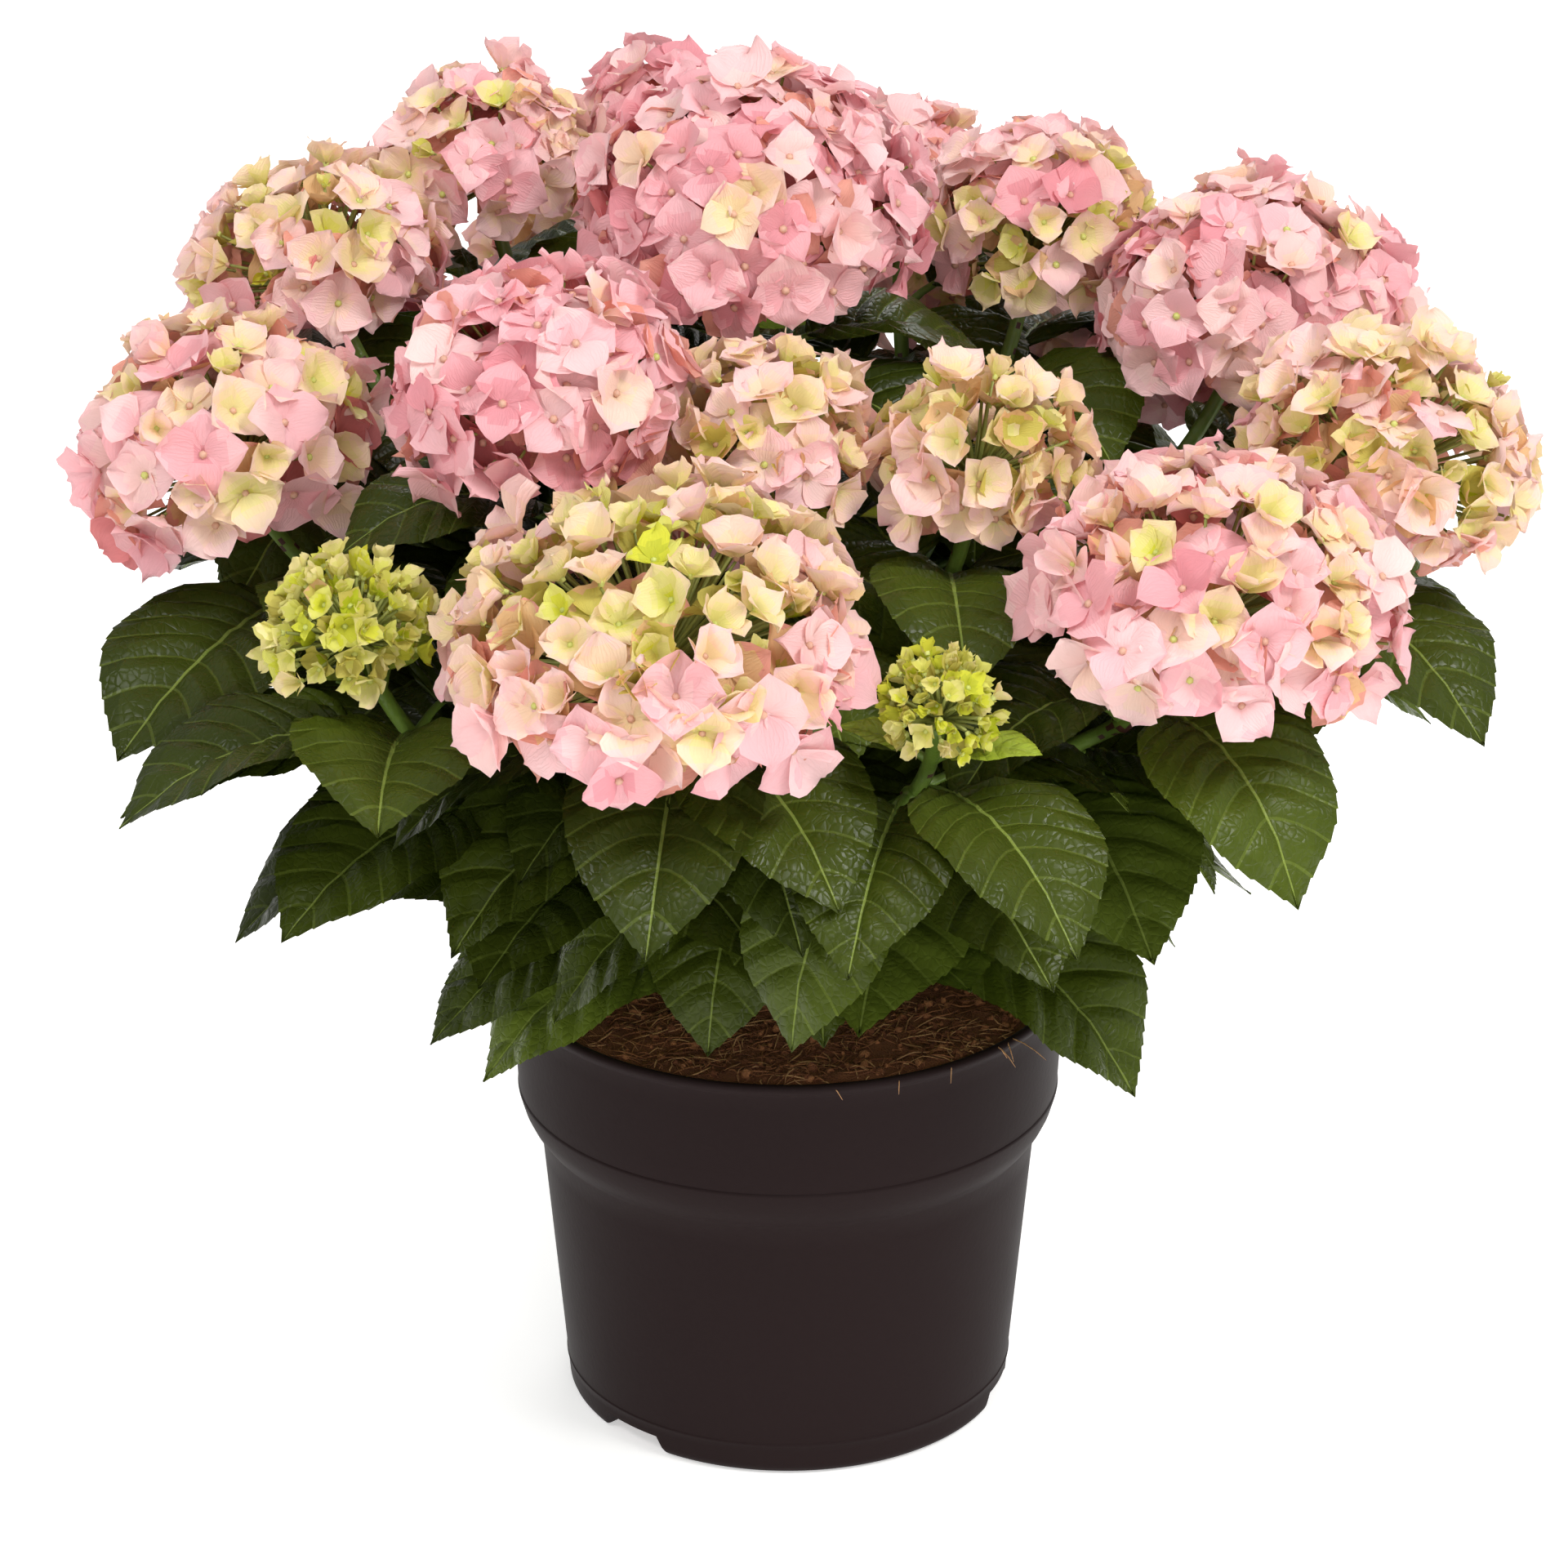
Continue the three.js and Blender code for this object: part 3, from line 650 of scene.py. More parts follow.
def grown_leaves(stem, seed):
    """The tries that the solid has, found by their tips."""
    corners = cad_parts["foliage_" + stem.shoot.name].data.vertices
    tree = KDTree(len(corners))
    for index, corner in enumerate(corners):
        tree.insert(corner.co, index)
    tree.balance()
    for pair, turn, wish in leaf_wishes(stem, seed):
        for leaf in leaf_tries(turn, wish, TRIES):
            out, up = leaf_reach(leaf, 12)
            tip = leaf.root + leaf.out * out[-1] + UP * up[-1]
            if tree.find(tip * MM)[2] < TIP_TOLERANCE:
                yield pair, leaf
                break


# Degrees by which two front leaves hang less, so that the mix shows below them.
RAISED = {("front_bud", 0, 0): 40, ("right_front", 1, 0): 40}
leaves = []
for index, shoot in enumerate(SHOOTS):
    for side, (pair, leaf) in enumerate(grown_leaves(stems[shoot.name], FIRST_SEED + index)):
        lift = RAISED.get((shoot.name, pair, side % 2), 0)
        leaves.append((shoot, pair, leaf._replace(hang=leaf.hang - lift)))
print("leaves found", len(leaves))

# %% [markdown]
# ## Leaf blades
# A hydrangea leaf is ovate, drawn out to a point and finely toothed. Its side
# veins leave the midrib low and arch forward to the edge, and the blade swells
# between them like a quilt. The grid's rows follow those veins: each row starts
# on the midrib and ends at the margin, so a groove, a swelling and a tooth are
# all a matter of which row a point is in.

# %% The grid of a leaf: rows along the side veins, columns outward
LeafGrid = namedtuple("LeafGrid", "margin between teeth columns sides faces kinds")
VEIN_PAIRS = 9


def vein_kinds(rows_a_pair, rows, columns):
    """For each face of a leaf: 0 for blade, 1 for side vein, 2 for midrib, and 3
    for the crest of the cushion between two side veins, whose paler tone is a painted highlight."""
    row, column = np.divmod(np.arange((rows - 1) * (columns - 1)), columns - 1)
    away = np.abs(column + 0.5 - (columns - 1) / 2)
    step = row % rows_a_pair
    side_vein = ((step == 0) | (step == rows_a_pair - 1)) & (row > 2)
    cushion = (np.abs(step - (rows_a_pair - 1) / 2) < 1.5) & (away < columns / 2 - 1)
    kinds = np.select([away < 1, side_vein, cushion], [2, 1, 3], 0)
    return np.append(kinds, np.zeros(columns - 1, int))


def leaf_grid(row_shares, row_teeth, column_shares):
    """The rows of one vein pair, repeated to the leaf's tip."""
    margin = [(pair + share) / VEIN_PAIRS for pair in range(VEIN_PAIRS) for share in row_shares]
    margin = np.append(margin, 0.985)
    margin[0] = 0.012
    between = np.append(np.tile(row_shares, VEIN_PAIRS), 0.5)
    teeth = np.append(np.tile(row_teeth, VEIN_PAIRS), 0)
    teeth = teeth * np.clip(margin / 0.12, 0, 1) * np.clip((1 - margin) / 0.06, 0, 1)
    columns = np.array([-share for share in reversed(column_shares)] + [0, 0, 0] + list(column_shares))
    sides = np.sign(np.arange(len(columns)) - len(columns) // 2)
    faces = capped_faces(len(margin), len(columns))
    kinds = vein_kinds(len(row_shares), len(margin), len(columns))
    return LeafGrid(margin, between, teeth, columns, sides, faces, kinds)


FINE_GRID = leaf_grid((0.0, 0.028, 0.30, 0.36, 0.64, 0.70, 0.972), (1.0, 0.15, 1.0, 0.15, 1.0, 0.15, 0.8),
                      (0.14, 0.34, 0.58, 0.80, 1.0))
SHADE_GRID = leaf_grid((0.0, 0.04, 0.46, 0.54, 0.96), (1.0, 0.15, 1.0, 0.15, 0.8), (0.2, 0.48, 0.76, 1.0))
print("faces of a leaf", len(FINE_GRID.faces), "and in the shade", len(SHADE_GRID.faces))

# %% Leaf outline and relief
LEAF_WIDTH = 0.75
LEAF_BASE = 0.56
LEAF_POINT = 0.86
DRAWN_OUT = 0.72
RIB = {"foot": 1.2, "tip": 0.3}
TOOTH = 0.9
QUILT = 4.8
PUCKER = 0.42
WAVE = 1.6
FOLD = (0.16, 0.44)
ROUGHNESS = 0.22
SWAY = 4
BLADE_STEPS = 60


def leaf_half_width(margin):
    """The ovate outline, 1 at its widest, with a drawn-out point."""
    widest = LEAF_BASE / (LEAF_BASE + LEAF_POINT)
    peak = widest ** LEAF_BASE * (1 - widest) ** LEAF_POINT
    return margin ** LEAF_BASE * (1 - margin) ** LEAF_POINT * (1 - DRAWN_OUT * margin ** 8) / peak


def leaf_blade(leaf, grid, random):
    """The points and charts of one blade. The chart is in decimetres."""
    blade_length = leaf.length * (1 - PETIOLE)
    size = blade_length / 110
    margin = grid.margin[:, None]
    half = blade_length * LEAF_WIDTH / 2 * leaf_half_width(margin)
    fullness = np.minimum(leaf_half_width(margin) * 1.6, 1)
    start = 0.15 * margin + 0.85 * margin ** 2
    rib = np.minimum(lerp(RIB["foot"], RIB["tip"], start) * size, half * 0.4)
    outward = np.abs(grid.columns)[None, :]
    across = np.where(grid.sides == 0, 0, rib + (half - rib) * outward)
    share = across / half
    tooth = grid.teeth[:, None] * (outward == 1) * TOOTH * size
    along = start + (margin - start) * share ** 1.45 + tooth * 0.7 / blade_length
    across = across + tooth
    swell = np.sin(math.pi * grid.between)[:, None] * np.sqrt(share) * (1 - 0.92 * share ** 3)
    swell = swell * (1 + PUCKER * np.sin(share * 15 + margin * 40)) * fullness
    phase, waves, bend, twist = random.uniform(0, math.tau), random.uniform(2, 3.4), *random.normal(0, 1, 2)
    fold = random.uniform(*FOLD)
    lift = half * (fold * share - 0.16 * share ** 2) + QUILT * size * swell
    ripple = np.sin(phase + math.tau * waves * along + grid.sides) * share ** 2
    lift = lift + WAVE * size * ripple * fullness
    lift = lift + random.normal(0, ROUGHNESS, lift.shape) * size * (share > 0.1) * (share < 0.9)
    lift = lift + grid.sides * across * 0.07 * twist
    sway = bend * SWAY * size * along ** 2
    spot = PETIOLE + (1 - PETIOLE) * np.append(along.ravel(), 1.0)
    middle, above = leaf_line(leaf, spot, BLADE_STEPS)
    right = np.cross(leaf.out, UP)
    shift = np.append((grid.sides * across + sway).ravel(), bend * SWAY * size)[:, None]
    rise = np.append(lift.ravel(), 0.0)[:, None]
    points = middle + right * shift + above * rise
    chart = np.stack([shift[:, 0], spot * leaf.length], axis=1) / 100
    return points * MM, chart


# %% Petioles: each leaf's stalk, which runs on under the blade as its midrib
STALK_STEPS = 40


def leaf_stalk(leaf):
    """The path and radii of a petiole, which sinks under the blade."""
    shares = np.array([0.0, 0.05, 0.1, 0.16, 0.22, 0.35, 0.55, 0.8])
    path, above = leaf_line(leaf, shares, STALK_STEPS)
    sink = np.interp(shares, (0, 0.17, 0.25, 0.8), (0, 0, 0.9, 0.4))[:, None]
    radii = np.interp(shares, (0, 0.06, 0.22, 0.8), (2.9, 1.9, 1.6, 0.5))
    return (path - above * sink) * MM, radii * MM


# %% Leaves of the shade: more of the same rule between the pairs of the source
FILL_SHARES = (0.2, 0.52, 0.84)
FILL_LENGTH = 0.86
FILL_APART = 8
FILL_TRIES = ((1, 0.84, 0.7), (0, 16, -16, 34), (0, 20, -20, 45, -45, 70, -70))
REACH_MARGIN = 4
LOWEST_LEAF = 206
SAMPLE_STEPS = 20
# No shade leaf grows in this window at the front, where the mix shows.
OPENING = {"bearing": 32, "half": 30, "below": 278}


def leaf_samples(leaf):
    """Points on a leaf's middle line and along its two halves."""
    shares = np.linspace(0.3, 1.0, 8)
    middle, _ = leaf_line(leaf, shares, SAMPLE_STEPS)
    margin = (shares - PETIOLE) / (1 - PETIOLE)
    half = leaf.length * (1 - PETIOLE) * LEAF_WIDTH / 2 * leaf_half_width(np.minimum(margin, 0.999))
    side = np.cross(leaf.out, UP) * (0.7 * half)[:, None]
    return np.vstack([middle, middle + side, middle - side])


def in_a_head(points, margin, but=None):
    """Which points lie in the space of a flower head, in millimetres."""
    hit = np.zeros(len(points), bool)
    for shoot in SHOOTS:
        if shoot.name == but:
            continue
        middle, axis = head_frame(shoot)
        offset = points - middle
        height = offset @ axis
        flat = np.linalg.norm(offset - height[:, None] * axis, axis=1)
        hit |= (flat / (shoot.across / 2 + margin)) ** 2 + (height / (shoot.half + margin)) ** 2 < 1
    return hit


def fits(samples, others):
    """Whether a leaf is in the plant's reach and clear of heads, pot and leaves."""
    low_corner = np.array(cad_low) / MM + REACH_MARGIN
    high_corner = np.array(cad_high) / MM - REACH_MARGIN
    if (samples < low_corner).any() or (samples > high_corner).any():
        return False
    if (samples[:, 2] < LOWEST_LEAF).any():
        return False
    bearings = np.degrees(np.arctan2(samples[:, 0], -samples[:, 1]))
    opening = np.abs(bearings - OPENING["bearing"]) < OPENING["half"]
    if (opening & (samples[:, 2] < OPENING["below"])).any():
        return False
    if in_a_head(samples, -3).any():
        return False
    gaps = np.linalg.norm(samples[:, None] - others[None], axis=2)
    return gaps.min() > FILL_APART


def shade_leaves(random):
    others = np.vstack([leaf_samples(leaf) for _, _, leaf in leaves])
    for stem in stems.values():
        shoot = stem.shoot
        for level, share in enumerate(FILL_SHARES):
            for side in (0, 120, 240):
                turn = shoot.turn + 45 + 60 * level + side + random.normal(0, 10)
                root = stem.line.at(lerp(stem.start, stem.end, share))
                rise = RISE + random.normal(0, 6)
                hang = shoot.hang + random.normal(0, 6)
                wish = Leaf(root, None, shoot.leaf * FILL_LENGTH, rise, hang)
                for leaf in leaf_tries(turn, wish, FILL_TRIES):
                    samples = leaf_samples(leaf)
                    if fits(samples, others):
                        others = np.vstack([others, samples])
                        yield shoot, level + 1.5, leaf
                        break


source_leaves = len(leaves)
leaves += list(shade_leaves(np.random.default_rng(77)))
print("leaves of the shade", len(leaves) - source_leaves)

# %% Young leaves: a small lime pair right under the heads that open last
YOUNG_SHOOTS = ("front_bud", "left_bud", "middle_right", "middle", "right")
YOUNG_LENGTH = 46
YOUNG_PAIR = -1


def young_leaves(random):
    for name in YOUNG_SHOOTS:
        stem = stems[name]
        for side in (0, 180):
            out = heading(stem.shoot.turn + 45 + side + random.normal(0, 12))
            length = YOUNG_LENGTH * random.uniform(0.8, 1.15)
            root = stem.line.at(lerp(stem.start, stem.end, 0.97))
            yield stem.shoot, YOUNG_PAIR, Leaf(root, out, length, 36, random.uniform(-20, 20))


leaves += list(young_leaves(np.random.default_rng(5)))

# %% Grow the blades and deal out their tones
blades = {"lower_leaf_blades": Gather(), "upper_leaf_blades": Gather(), "shade_leaf_blades": Gather()}
stalks = Gather()
random = np.random.default_rng(11)
for number, (shoot, pair, leaf) in enumerate(leaves):
    shaded = number >= source_leaves
    grid = SHADE_GRID if shaded else FINE_GRID
    points, chart = leaf_blade(leaf, grid, random)
    # Painted light and shade: leaves of shoots that lean to the right take lighter tones, and each pair
    # higher up, with the leaves of the shade inside the crown, takes darker ones.
    painted_light_side = 0.9 * math.cos(math.radians(shoot.bearing - 75))
    tone = 2.1 + painted_light_side - 0.45 * pair + random.normal(0, 0.6)
    tone = int(np.clip(round(tone), 0, len(LEAF_TONES) - 2))
    tone = len(LEAF_TONES) - 1 if pair == YOUNG_PAIR else tone
    level = "lower_leaf_blades" if pair < 2 else "upper_leaf_blades"
    level = "shade_leaf_blades" if shaded else level
    blades[level].add(points, grid.faces, grid.kinds * len(LEAF_TONES) + tone, chart)
    path, radii = leaf_stalk(leaf)
    stalks.add(*tube(path, radii, 7))

foliage_nodes = ["foliage_" + shoot.name for shoot in SHOOTS]
for name, gather in blades.items():
    make_piece(name, gather, leaf_looks, foliage_nodes)
make_piece("leaf_stalks", stalks, [stem_green], foliage_nodes)

# %% [markdown]
# ## Woody boughs and green stems
# This year's shoots are green, ringed at each pair of leaves and flecked with
# purple brown; the wood they spring from is brown and ridged. A tube along each
# line, with its radius ruffled point by point, gives ridges, rings and flecks in
# the mesh itself.


# %% Bark and stem skins
def rings(line, start, end, count):
    return line.at(np.linspace(start, end, count)) * MM


def swollen(shares, joints, radii, amount):
    """Radii that swell where leaves join."""
    for joint in joints:
        radii = radii * (1 + amount * np.exp(-((shares - joint) / 0.012) ** 2))
    return radii


WOOD_SIDES = 18
WOOD_RINGS = 34
GREEN_SIDES = 10
GREEN_RINGS = 84
NODE_SWELL = 0.45
FLECKS = 0.05
wood = Gather()
green = Gather()
random = np.random.default_rng(23)
for stem in stems.values():
    shoot = stem.shoot
    joints = [lerp(stem.start, stem.end, (pair + 0.25) / shoot.pairs) for pair in range(shoot.pairs)]
    if stem.rooted:
        count = WOOD_RINGS
        shares = np.linspace(0, stem.start, count)
        radii = lerp(WOOD["foot"], WOOD["tip"], shares / stem.start) * MM
        ridge = 1 + 0.07 * random.normal(size=WOOD_SIDES)[None, :]
        ridge = ridge + 0.035 * random.normal(size=(count, WOOD_SIDES))
        points, faces = tube(rings(stem.line, 0, stem.start, count), radii, WOOD_SIDES, ridge)
        high = np.tile(ridge.mean(axis=0) > 1.03, count - 1)
        wood.add(points, faces, np.append(high, np.zeros(WOOD_SIDES, bool)).astype(int))
    count = GREEN_RINGS
    shares = np.linspace(stem.start, 1.0, count)
    radii = lerp(GREEN["foot"], GREEN["tip"], np.clip((shares - stem.start) / (stem.end - stem.start), 0, 1))
    radii = swollen(shares, joints, radii, NODE_SWELL) * MM
    points, faces = tube(rings(stem.line, stem.start, 1.0, count), radii, GREEN_SIDES)
    flecks = random.random(len(faces)) < FLECKS
    near_joint = np.min(np.abs(shares[:-1, None] - np.array(joints)), axis=1) < 0.009
    ringed = np.append(np.repeat(near_joint, GREEN_SIDES), np.zeros(GREEN_SIDES, bool))
    green.add(points, faces, (flecks | (ringed & (random.random(len(faces)) < 0.5))).astype(int))

bough_nodes = ["bough_" + stem.shoot.name for stem in stems.values() if stem.rooted]
make_piece("woody_boughs", wood, [bark_brown, bark_ridge], bough_nodes)
make_piece("green_stems", green, [stem_green, stem_mark], foliage_nodes)

# %% [markdown]
# ## Flower heads
# A mophead is a dome of many florets. What looks like four petals are sepals:
# broad, pointed, overlapping, around a small round bead. Young ones are cupped
# and lime or cream, and they open flat and turn pink, first at the rim. Each
# head opens in its own way, told here as the ripeness of its crown, the ripeness
# of its skirt, how much single florets differ, how large they grow and how low
# the skirt hangs.

# %% How each head has opened
Bloom = namedtuple("Bloom", "crown skirt spread growth lowest", defaults=(1.0, -0.2))
BLOOM = {
    "front": Bloom(0.22, 0.84, 0.14, 1.1, -0.02),
    "front_bud": Bloom(0.0, 0.02, 0.03),
    "right_front": Bloom(0.60, 0.84, 0.16, 1.04, -0.02),
    "left": Bloom(0.54, 0.84, 0.18, 1.02),
    "right": Bloom(0.38, 0.60, 0.15),
    "left_inner": Bloom(0.86, 1.0, 0.13),
    "left_bud": Bloom(0.04, 0.12, 0.05),
    "middle": Bloom(0.46, 0.52, 0.13, 0.96),
    "middle_right": Bloom(0.28, 0.58, 0.15),
    "top": Bloom(0.84, 0.98, 0.13, 0.96),
    "right_high": Bloom(0.72, 0.88, 0.15, 0.96),
    "left_high": Bloom(0.40, 0.78, 0.17, 0.94),
    "left_rear": Bloom(0.66, 0.50, 0.22, 0.9),
    "right_rear": Bloom(0.58, 0.50, 0.19, 0.9),
    "rear_inner_left": Bloom(0.78, 0.85, 0.15, 0.95),
    "rear_inner_right": Bloom(0.78, 0.85, 0.15, 0.95),
    "rear_low_left": Bloom(0.74, 0.92, 0.14),
    "rear_left": Bloom(0.50, 0.88, 0.16, 1.04),
    "rear_right": Bloom(0.36, 0.80, 0.16, 1.04),
    "rear_low_right": Bloom(0.70, 0.88, 0.15),
}

# %% The grid of a sepal, and how far each of its faces is from heart to rim
SEPAL_ALONG = np.array([0.05, 0.20, 0.37, 0.55, 0.72, 0.86, 0.95])
SEPAL_OUTLINE = np.array([0.30, 0.76, 1.0, 0.94, 0.67, 0.34, 0.12])
SEPAL_ACROSS = np.array([-1, -0.5, 0, 0.5, 1])
sepal_faces = capped_faces(len(SEPAL_ALONG), len(SEPAL_ACROSS))
sepal_rims = np.append(SEPAL_ALONG[1:], 1.0)[:, None] ** 1.3 + 0.2 * np.array([1, 0, 0, 1])
sepal_rims = np.clip(sepal_rims, 0, 1).ravel()
SEPAL_CHART = np.vstack([
    np.stack(np.meshgrid(SEPAL_ACROSS, SEPAL_ALONG), axis=-1).reshape(-1, 2),
    [(0, 1)],
])


def sepal(length, width, cup, curl, bowl, random):
    """One sepal that leaves the floret's middle along +X. Cup and curl are the
    angles in radians at which it starts and by which it turns back."""
    v = SEPAL_ALONG[:, None]
    u = SEPAL_ACROSS[None, :]
    outline = SEPAL_OUTLINE[:, None] * width / 2
    outline = outline * (1 + random.normal(0, 0.06, (len(v), 2))[:, [0, 0, 0, 1, 1]])
    fine = np.linspace(0, 1, 21)
    tilt = cup + curl * (fine[:-1] + fine[1:]) / 2
    out = np.append(0, np.cumsum(np.cos(tilt))) * length / 20
    up = np.append(0, np.cumsum(np.sin(tilt))) * length / 20
    wave = random.normal(0, 0.10) * length * v ** 2 * np.sin(u * 2.4 + random.uniform(0, math.tau))
    rough = random.normal(0, 0.018 * length, (len(v), len(u)))
    x = np.interp(v, fine, out) + 0 * u
    z = np.interp(v, fine, up) + bowl * outline * u ** 2 + wave + rough
    y = outline * u + random.normal(0, 0.07) * length * v ** 2
    points = np.stack([x, y, z], axis=-1).reshape(-1, 3)
    return np.vstack([points, (out[-1], y[-1, 2], up[-1] + wave[-1, 2])])


# %% Beads: the true flower in a floret's middle, or a bud that is still shut
def bead_grid(sides, rings):
    lift = np.linspace(-0.5, 1, rings + 1)[:-1] * math.pi / 2
    angles = np.arange(sides) / sides * math.tau
    x = np.cos(lift)[:, None] * np.cos(angles)
    y = np.cos(lift)[:, None] * np.sin(angles)
    z = np.sin(lift)[:, None] + 0 * angles
    points = np.vstack([np.stack([x, y, z], axis=-1).reshape(-1, 3), (0, 0, 1)])
    return points, capped_faces(rings, sides, closed=True)


bead_points, bead_faces = bead_grid(6, 2)

# %% A floret: four sepals in two crossed pairs round a bead
STAGES = (0, 0.3, 0.5, 0.75, 1)
# A ripe heart deeper than its rim is painted shade in the floret's cup. The lime or cream heart of a young
# floret and the pink that starts at the rim are its own colour.
HEART_TONES_AND_CUP_SHADE = (2.0, 2.9, 4.8, 9.6, 12.8)
RIM_TONES = (3.0, 6.6, 8.8, 10.4, 11.3)
BEAD_SIZE = 1.8
SHAPE_BY_STAGE = {
    "radius": ((0, 0.12, 0.35, 0.6, 1), (6.5, 9.6, 13.4, 15.0, 15.4)),
    "cup": ((0, 0.2, 0.4, 0.7, 1), (68, 63, 54, 38, 27)),
    "curl": ((0, 0.35, 0.7, 1), (-14, -24, -34, -38)),
    "bowl": ((0, 0.5, 1), (0.6, 0.36, 0.12)),
    "breadth": ((0, 0.25, 0.5, 1), (0.64, 0.94, 1.08, 1.12)),
}


def opened(measure, stage):
    """A measure of a floret's shape at its stage of opening, 0 to 1."""
    stages, values = SHAPE_BY_STAGE[measure]
    return float(np.interp(stage, stages, values))


def tilted(normal, spin):
    """The rows are a floret's own axes, its +Z along the normal."""
    reference = np.array([0.0, 1.0, 0.0]) if abs(normal[1]) < 0.8 else np.array([1.0, 0.0, 0.0])
    side = unit(np.cross(reference, normal))
    other = np.cross(normal, side)
    x = side * math.cos(spin) + other * math.sin(spin)
    return np.array([x, np.cross(normal, x), normal])


def sepal_tones(stage, shift, inner):
    """The tone of each face of a sepal, from the heart's to the rim's."""
    heart = np.interp(stage, STAGES, HEART_TONES_AND_CUP_SHADE)
    rim = np.interp(stage, STAGES, RIM_TONES)
    tones = lerp(heart, rim, sepal_rims) + shift
    tones = np.clip(np.round(tones), 0, len(PETAL_TONES) - 1).astype(int)
    # The inner layer takes the darker ladder of painted shade.
    return len(PETAL_TONES) + tones // 3 if inner else tones


def add_floret(sepals, beads, place, normal, radius, stage, inner, random):
    """Adds one floret at a place, in metres."""
    axes = tilted(normal, random.uniform(0, math.tau))
    shift = random.normal(0, 0.75)
    cup = opened("cup", stage) + random.normal(0, 10)
    curl = opened("curl", stage) + random.normal(0, 10)
    bowl = opened("bowl", stage) + random.normal(0, 0.14)
    breadth = opened("breadth", stage)
    for quarter in range(4):
        length = radius * random.uniform(0.95, 1.2)
        width = length * breadth * random.uniform(0.92, 1.1)
        start = math.radians(cup - (quarter % 2) * 8 + random.normal(0, 9))
        shape = sepal(length, width, start, math.radians(curl + random.normal(0, 9)), bowl, random)
        turn = quarter * math.pi / 2 + random.normal(0, 0.12)
        spun = shape @ np.array([
            [math.cos(turn), math.sin(turn), 0],
            [-math.sin(turn), math.cos(turn), 0],
            [0, 0, 1],
        ])
        tones = sepal_tones(stage, shift + random.normal(0, 0.35), inner)
        sepals.add(place + spun @ axes, sepal_faces, tones, SEPAL_CHART)
    size = BEAD_SIZE * MM * (0.75 + 0.3 * stage)
    bead = (bead_points + (0, 0, 0.5)) * size
    beads.add(place + bead @ axes, bead_faces, int(random.random() < stage * 1.6 - 0.3))


# %% The places of a head's florets, wound in a spiral down the dome
SAG = 0.24
UPRIGHT = 0.8
GOLDEN_TURN = math.pi * (3 - math.sqrt(5))


def dome_places(shoot, spacing, depth, lowest, random):
    """Places and outward normals on the dome, in metres, with how high each is:
    1 at the crown and less at the skirt. The sag puts the widest girth low."""
    middle, axis = head_frame(shoot)
    axis = unit(axis + UP * UPRIGHT)
    sag = SAG * shoot.half
    a = shoot.across / 2 - depth
    c = shoot.half + sag - depth
    area = math.tau * a * (a + c) / 2 * (1 - lowest) * 0.86
    count = max(round(area / spacing ** 2), 7)
    axes = tilted(axis, math.radians(shoot.bearing))
    phases = random.uniform(0, math.tau, 2)
    for index in range(count):
        up = lerp(1, lowest, (index + 0.3) / count)
        flat = math.sqrt(1 - up * up)
        angle = index * GOLDEN_TURN
        spot = np.array([a * flat * math.cos(angle), a * flat * math.sin(angle), c * up])
        normal = unit(spot / np.array([a * a, a * a, c * c])) @ axes
        uneven = 0.04 * math.sin(2 * angle + phases[0]) + 0.03 * math.sin(3 * angle + phases[1])
        place = middle - axis * sag + (spot * (1 + uneven * flat)) @ axes - normal * random.uniform(0, 7)
        place = place + random.normal(0, spacing * 0.12, 3)
        droop = UP * random.uniform(0, 0.5) * max(0.3 - up, 0)
        yield place * MM, unit(normal - droop + random.normal(0, 0.22, 3)), up


# %% Open every head
HEAD_GROUPS = {
    "front_blossom": ("front", "front_bud", "left_inner", "left_bud", "middle", "middle_right"),
    "side_blossom": ("right_front", "left", "right"),
    "high_blossom": ("top", "right_high", "left_high", "left_rear", "right_rear"),
    "rear_blossom": ("rear_inner_left", "rear_inner_right", "rear_low_left", "rear_left", "rear_right",
                     "rear_low_right"),
}
# Each layer of florets: whether it is the inner one, how deep its middles lie
# and how far apart, in radii of the head's typical floret.
# The inner layer is coloured with the darker tones of painted shade.
LAYERS = ((False, 0.45, 1.06), (True, 1.0, 1.3))
PEDICEL_RADII = np.array([1.2, 0.9, 0.7]) * MM
beads = Gather()
pedicels = Gather()
random = np.random.default_rng(37)
florets_made = 0
for group_name, names in HEAD_GROUPS.items():
    sepals = Gather()
    for name in names:
        shoot = stems[name].shoot
        bloom = BLOOM[name]
        middle, axis = head_frame(shoot)
        typical = opened("radius", (bloom.crown + bloom.skirt) / 2) * bloom.growth
        for inner, depth, spacing in LAYERS:
            places = dome_places(shoot, typical * spacing, typical * depth, bloom.lowest, random)
            for place, normal, up in places:
                if in_a_head(place[None] / MM, -4, shoot.name).any():
                    continue
                share = (up - bloom.lowest) / (1 - bloom.lowest)
                stage = lerp(bloom.skirt, bloom.crown, share ** 0.8) + random.normal(0, bloom.spread)
                stage = float(np.clip(stage, 0, 1))
                radius = opened("radius", stage) * bloom.growth * random.uniform(0.9, 1.12) * MM
                add_floret(sepals, beads, place, normal, radius, stage, inner, random)
                root = (middle - axis * shoot.half * 0.35) * MM
                path = np.array([root, lerp(root, place, 0.6) - normal * 2 * MM, place - normal * MM])
                pedicels.add(*tube(path, PEDICEL_RADII, 3))
                florets_made += 1
    make_piece(group_name, sepals, petals, ["flower_head_" + name for name in names])
head_nodes = ["flower_head_" + shoot.name for shoot in SHOOTS]
make_piece("floret_beads", beads, [bead_green, bead_rose], head_nodes)
make_piece("pedicels", pedicels, [pedicel_green], head_nodes)
print("florets", florets_made)

# %% [markdown]
# ## The pot
# The nursery pot is thin moulded plastic: a tapering wall, a wider collar
# that turns in over a ledge, a rolled lip, a faint mould seam near the foot and
# three drain notches through the bottom corner. A turned profile gives all of
# it but the notches, which Boolean wedges cut.

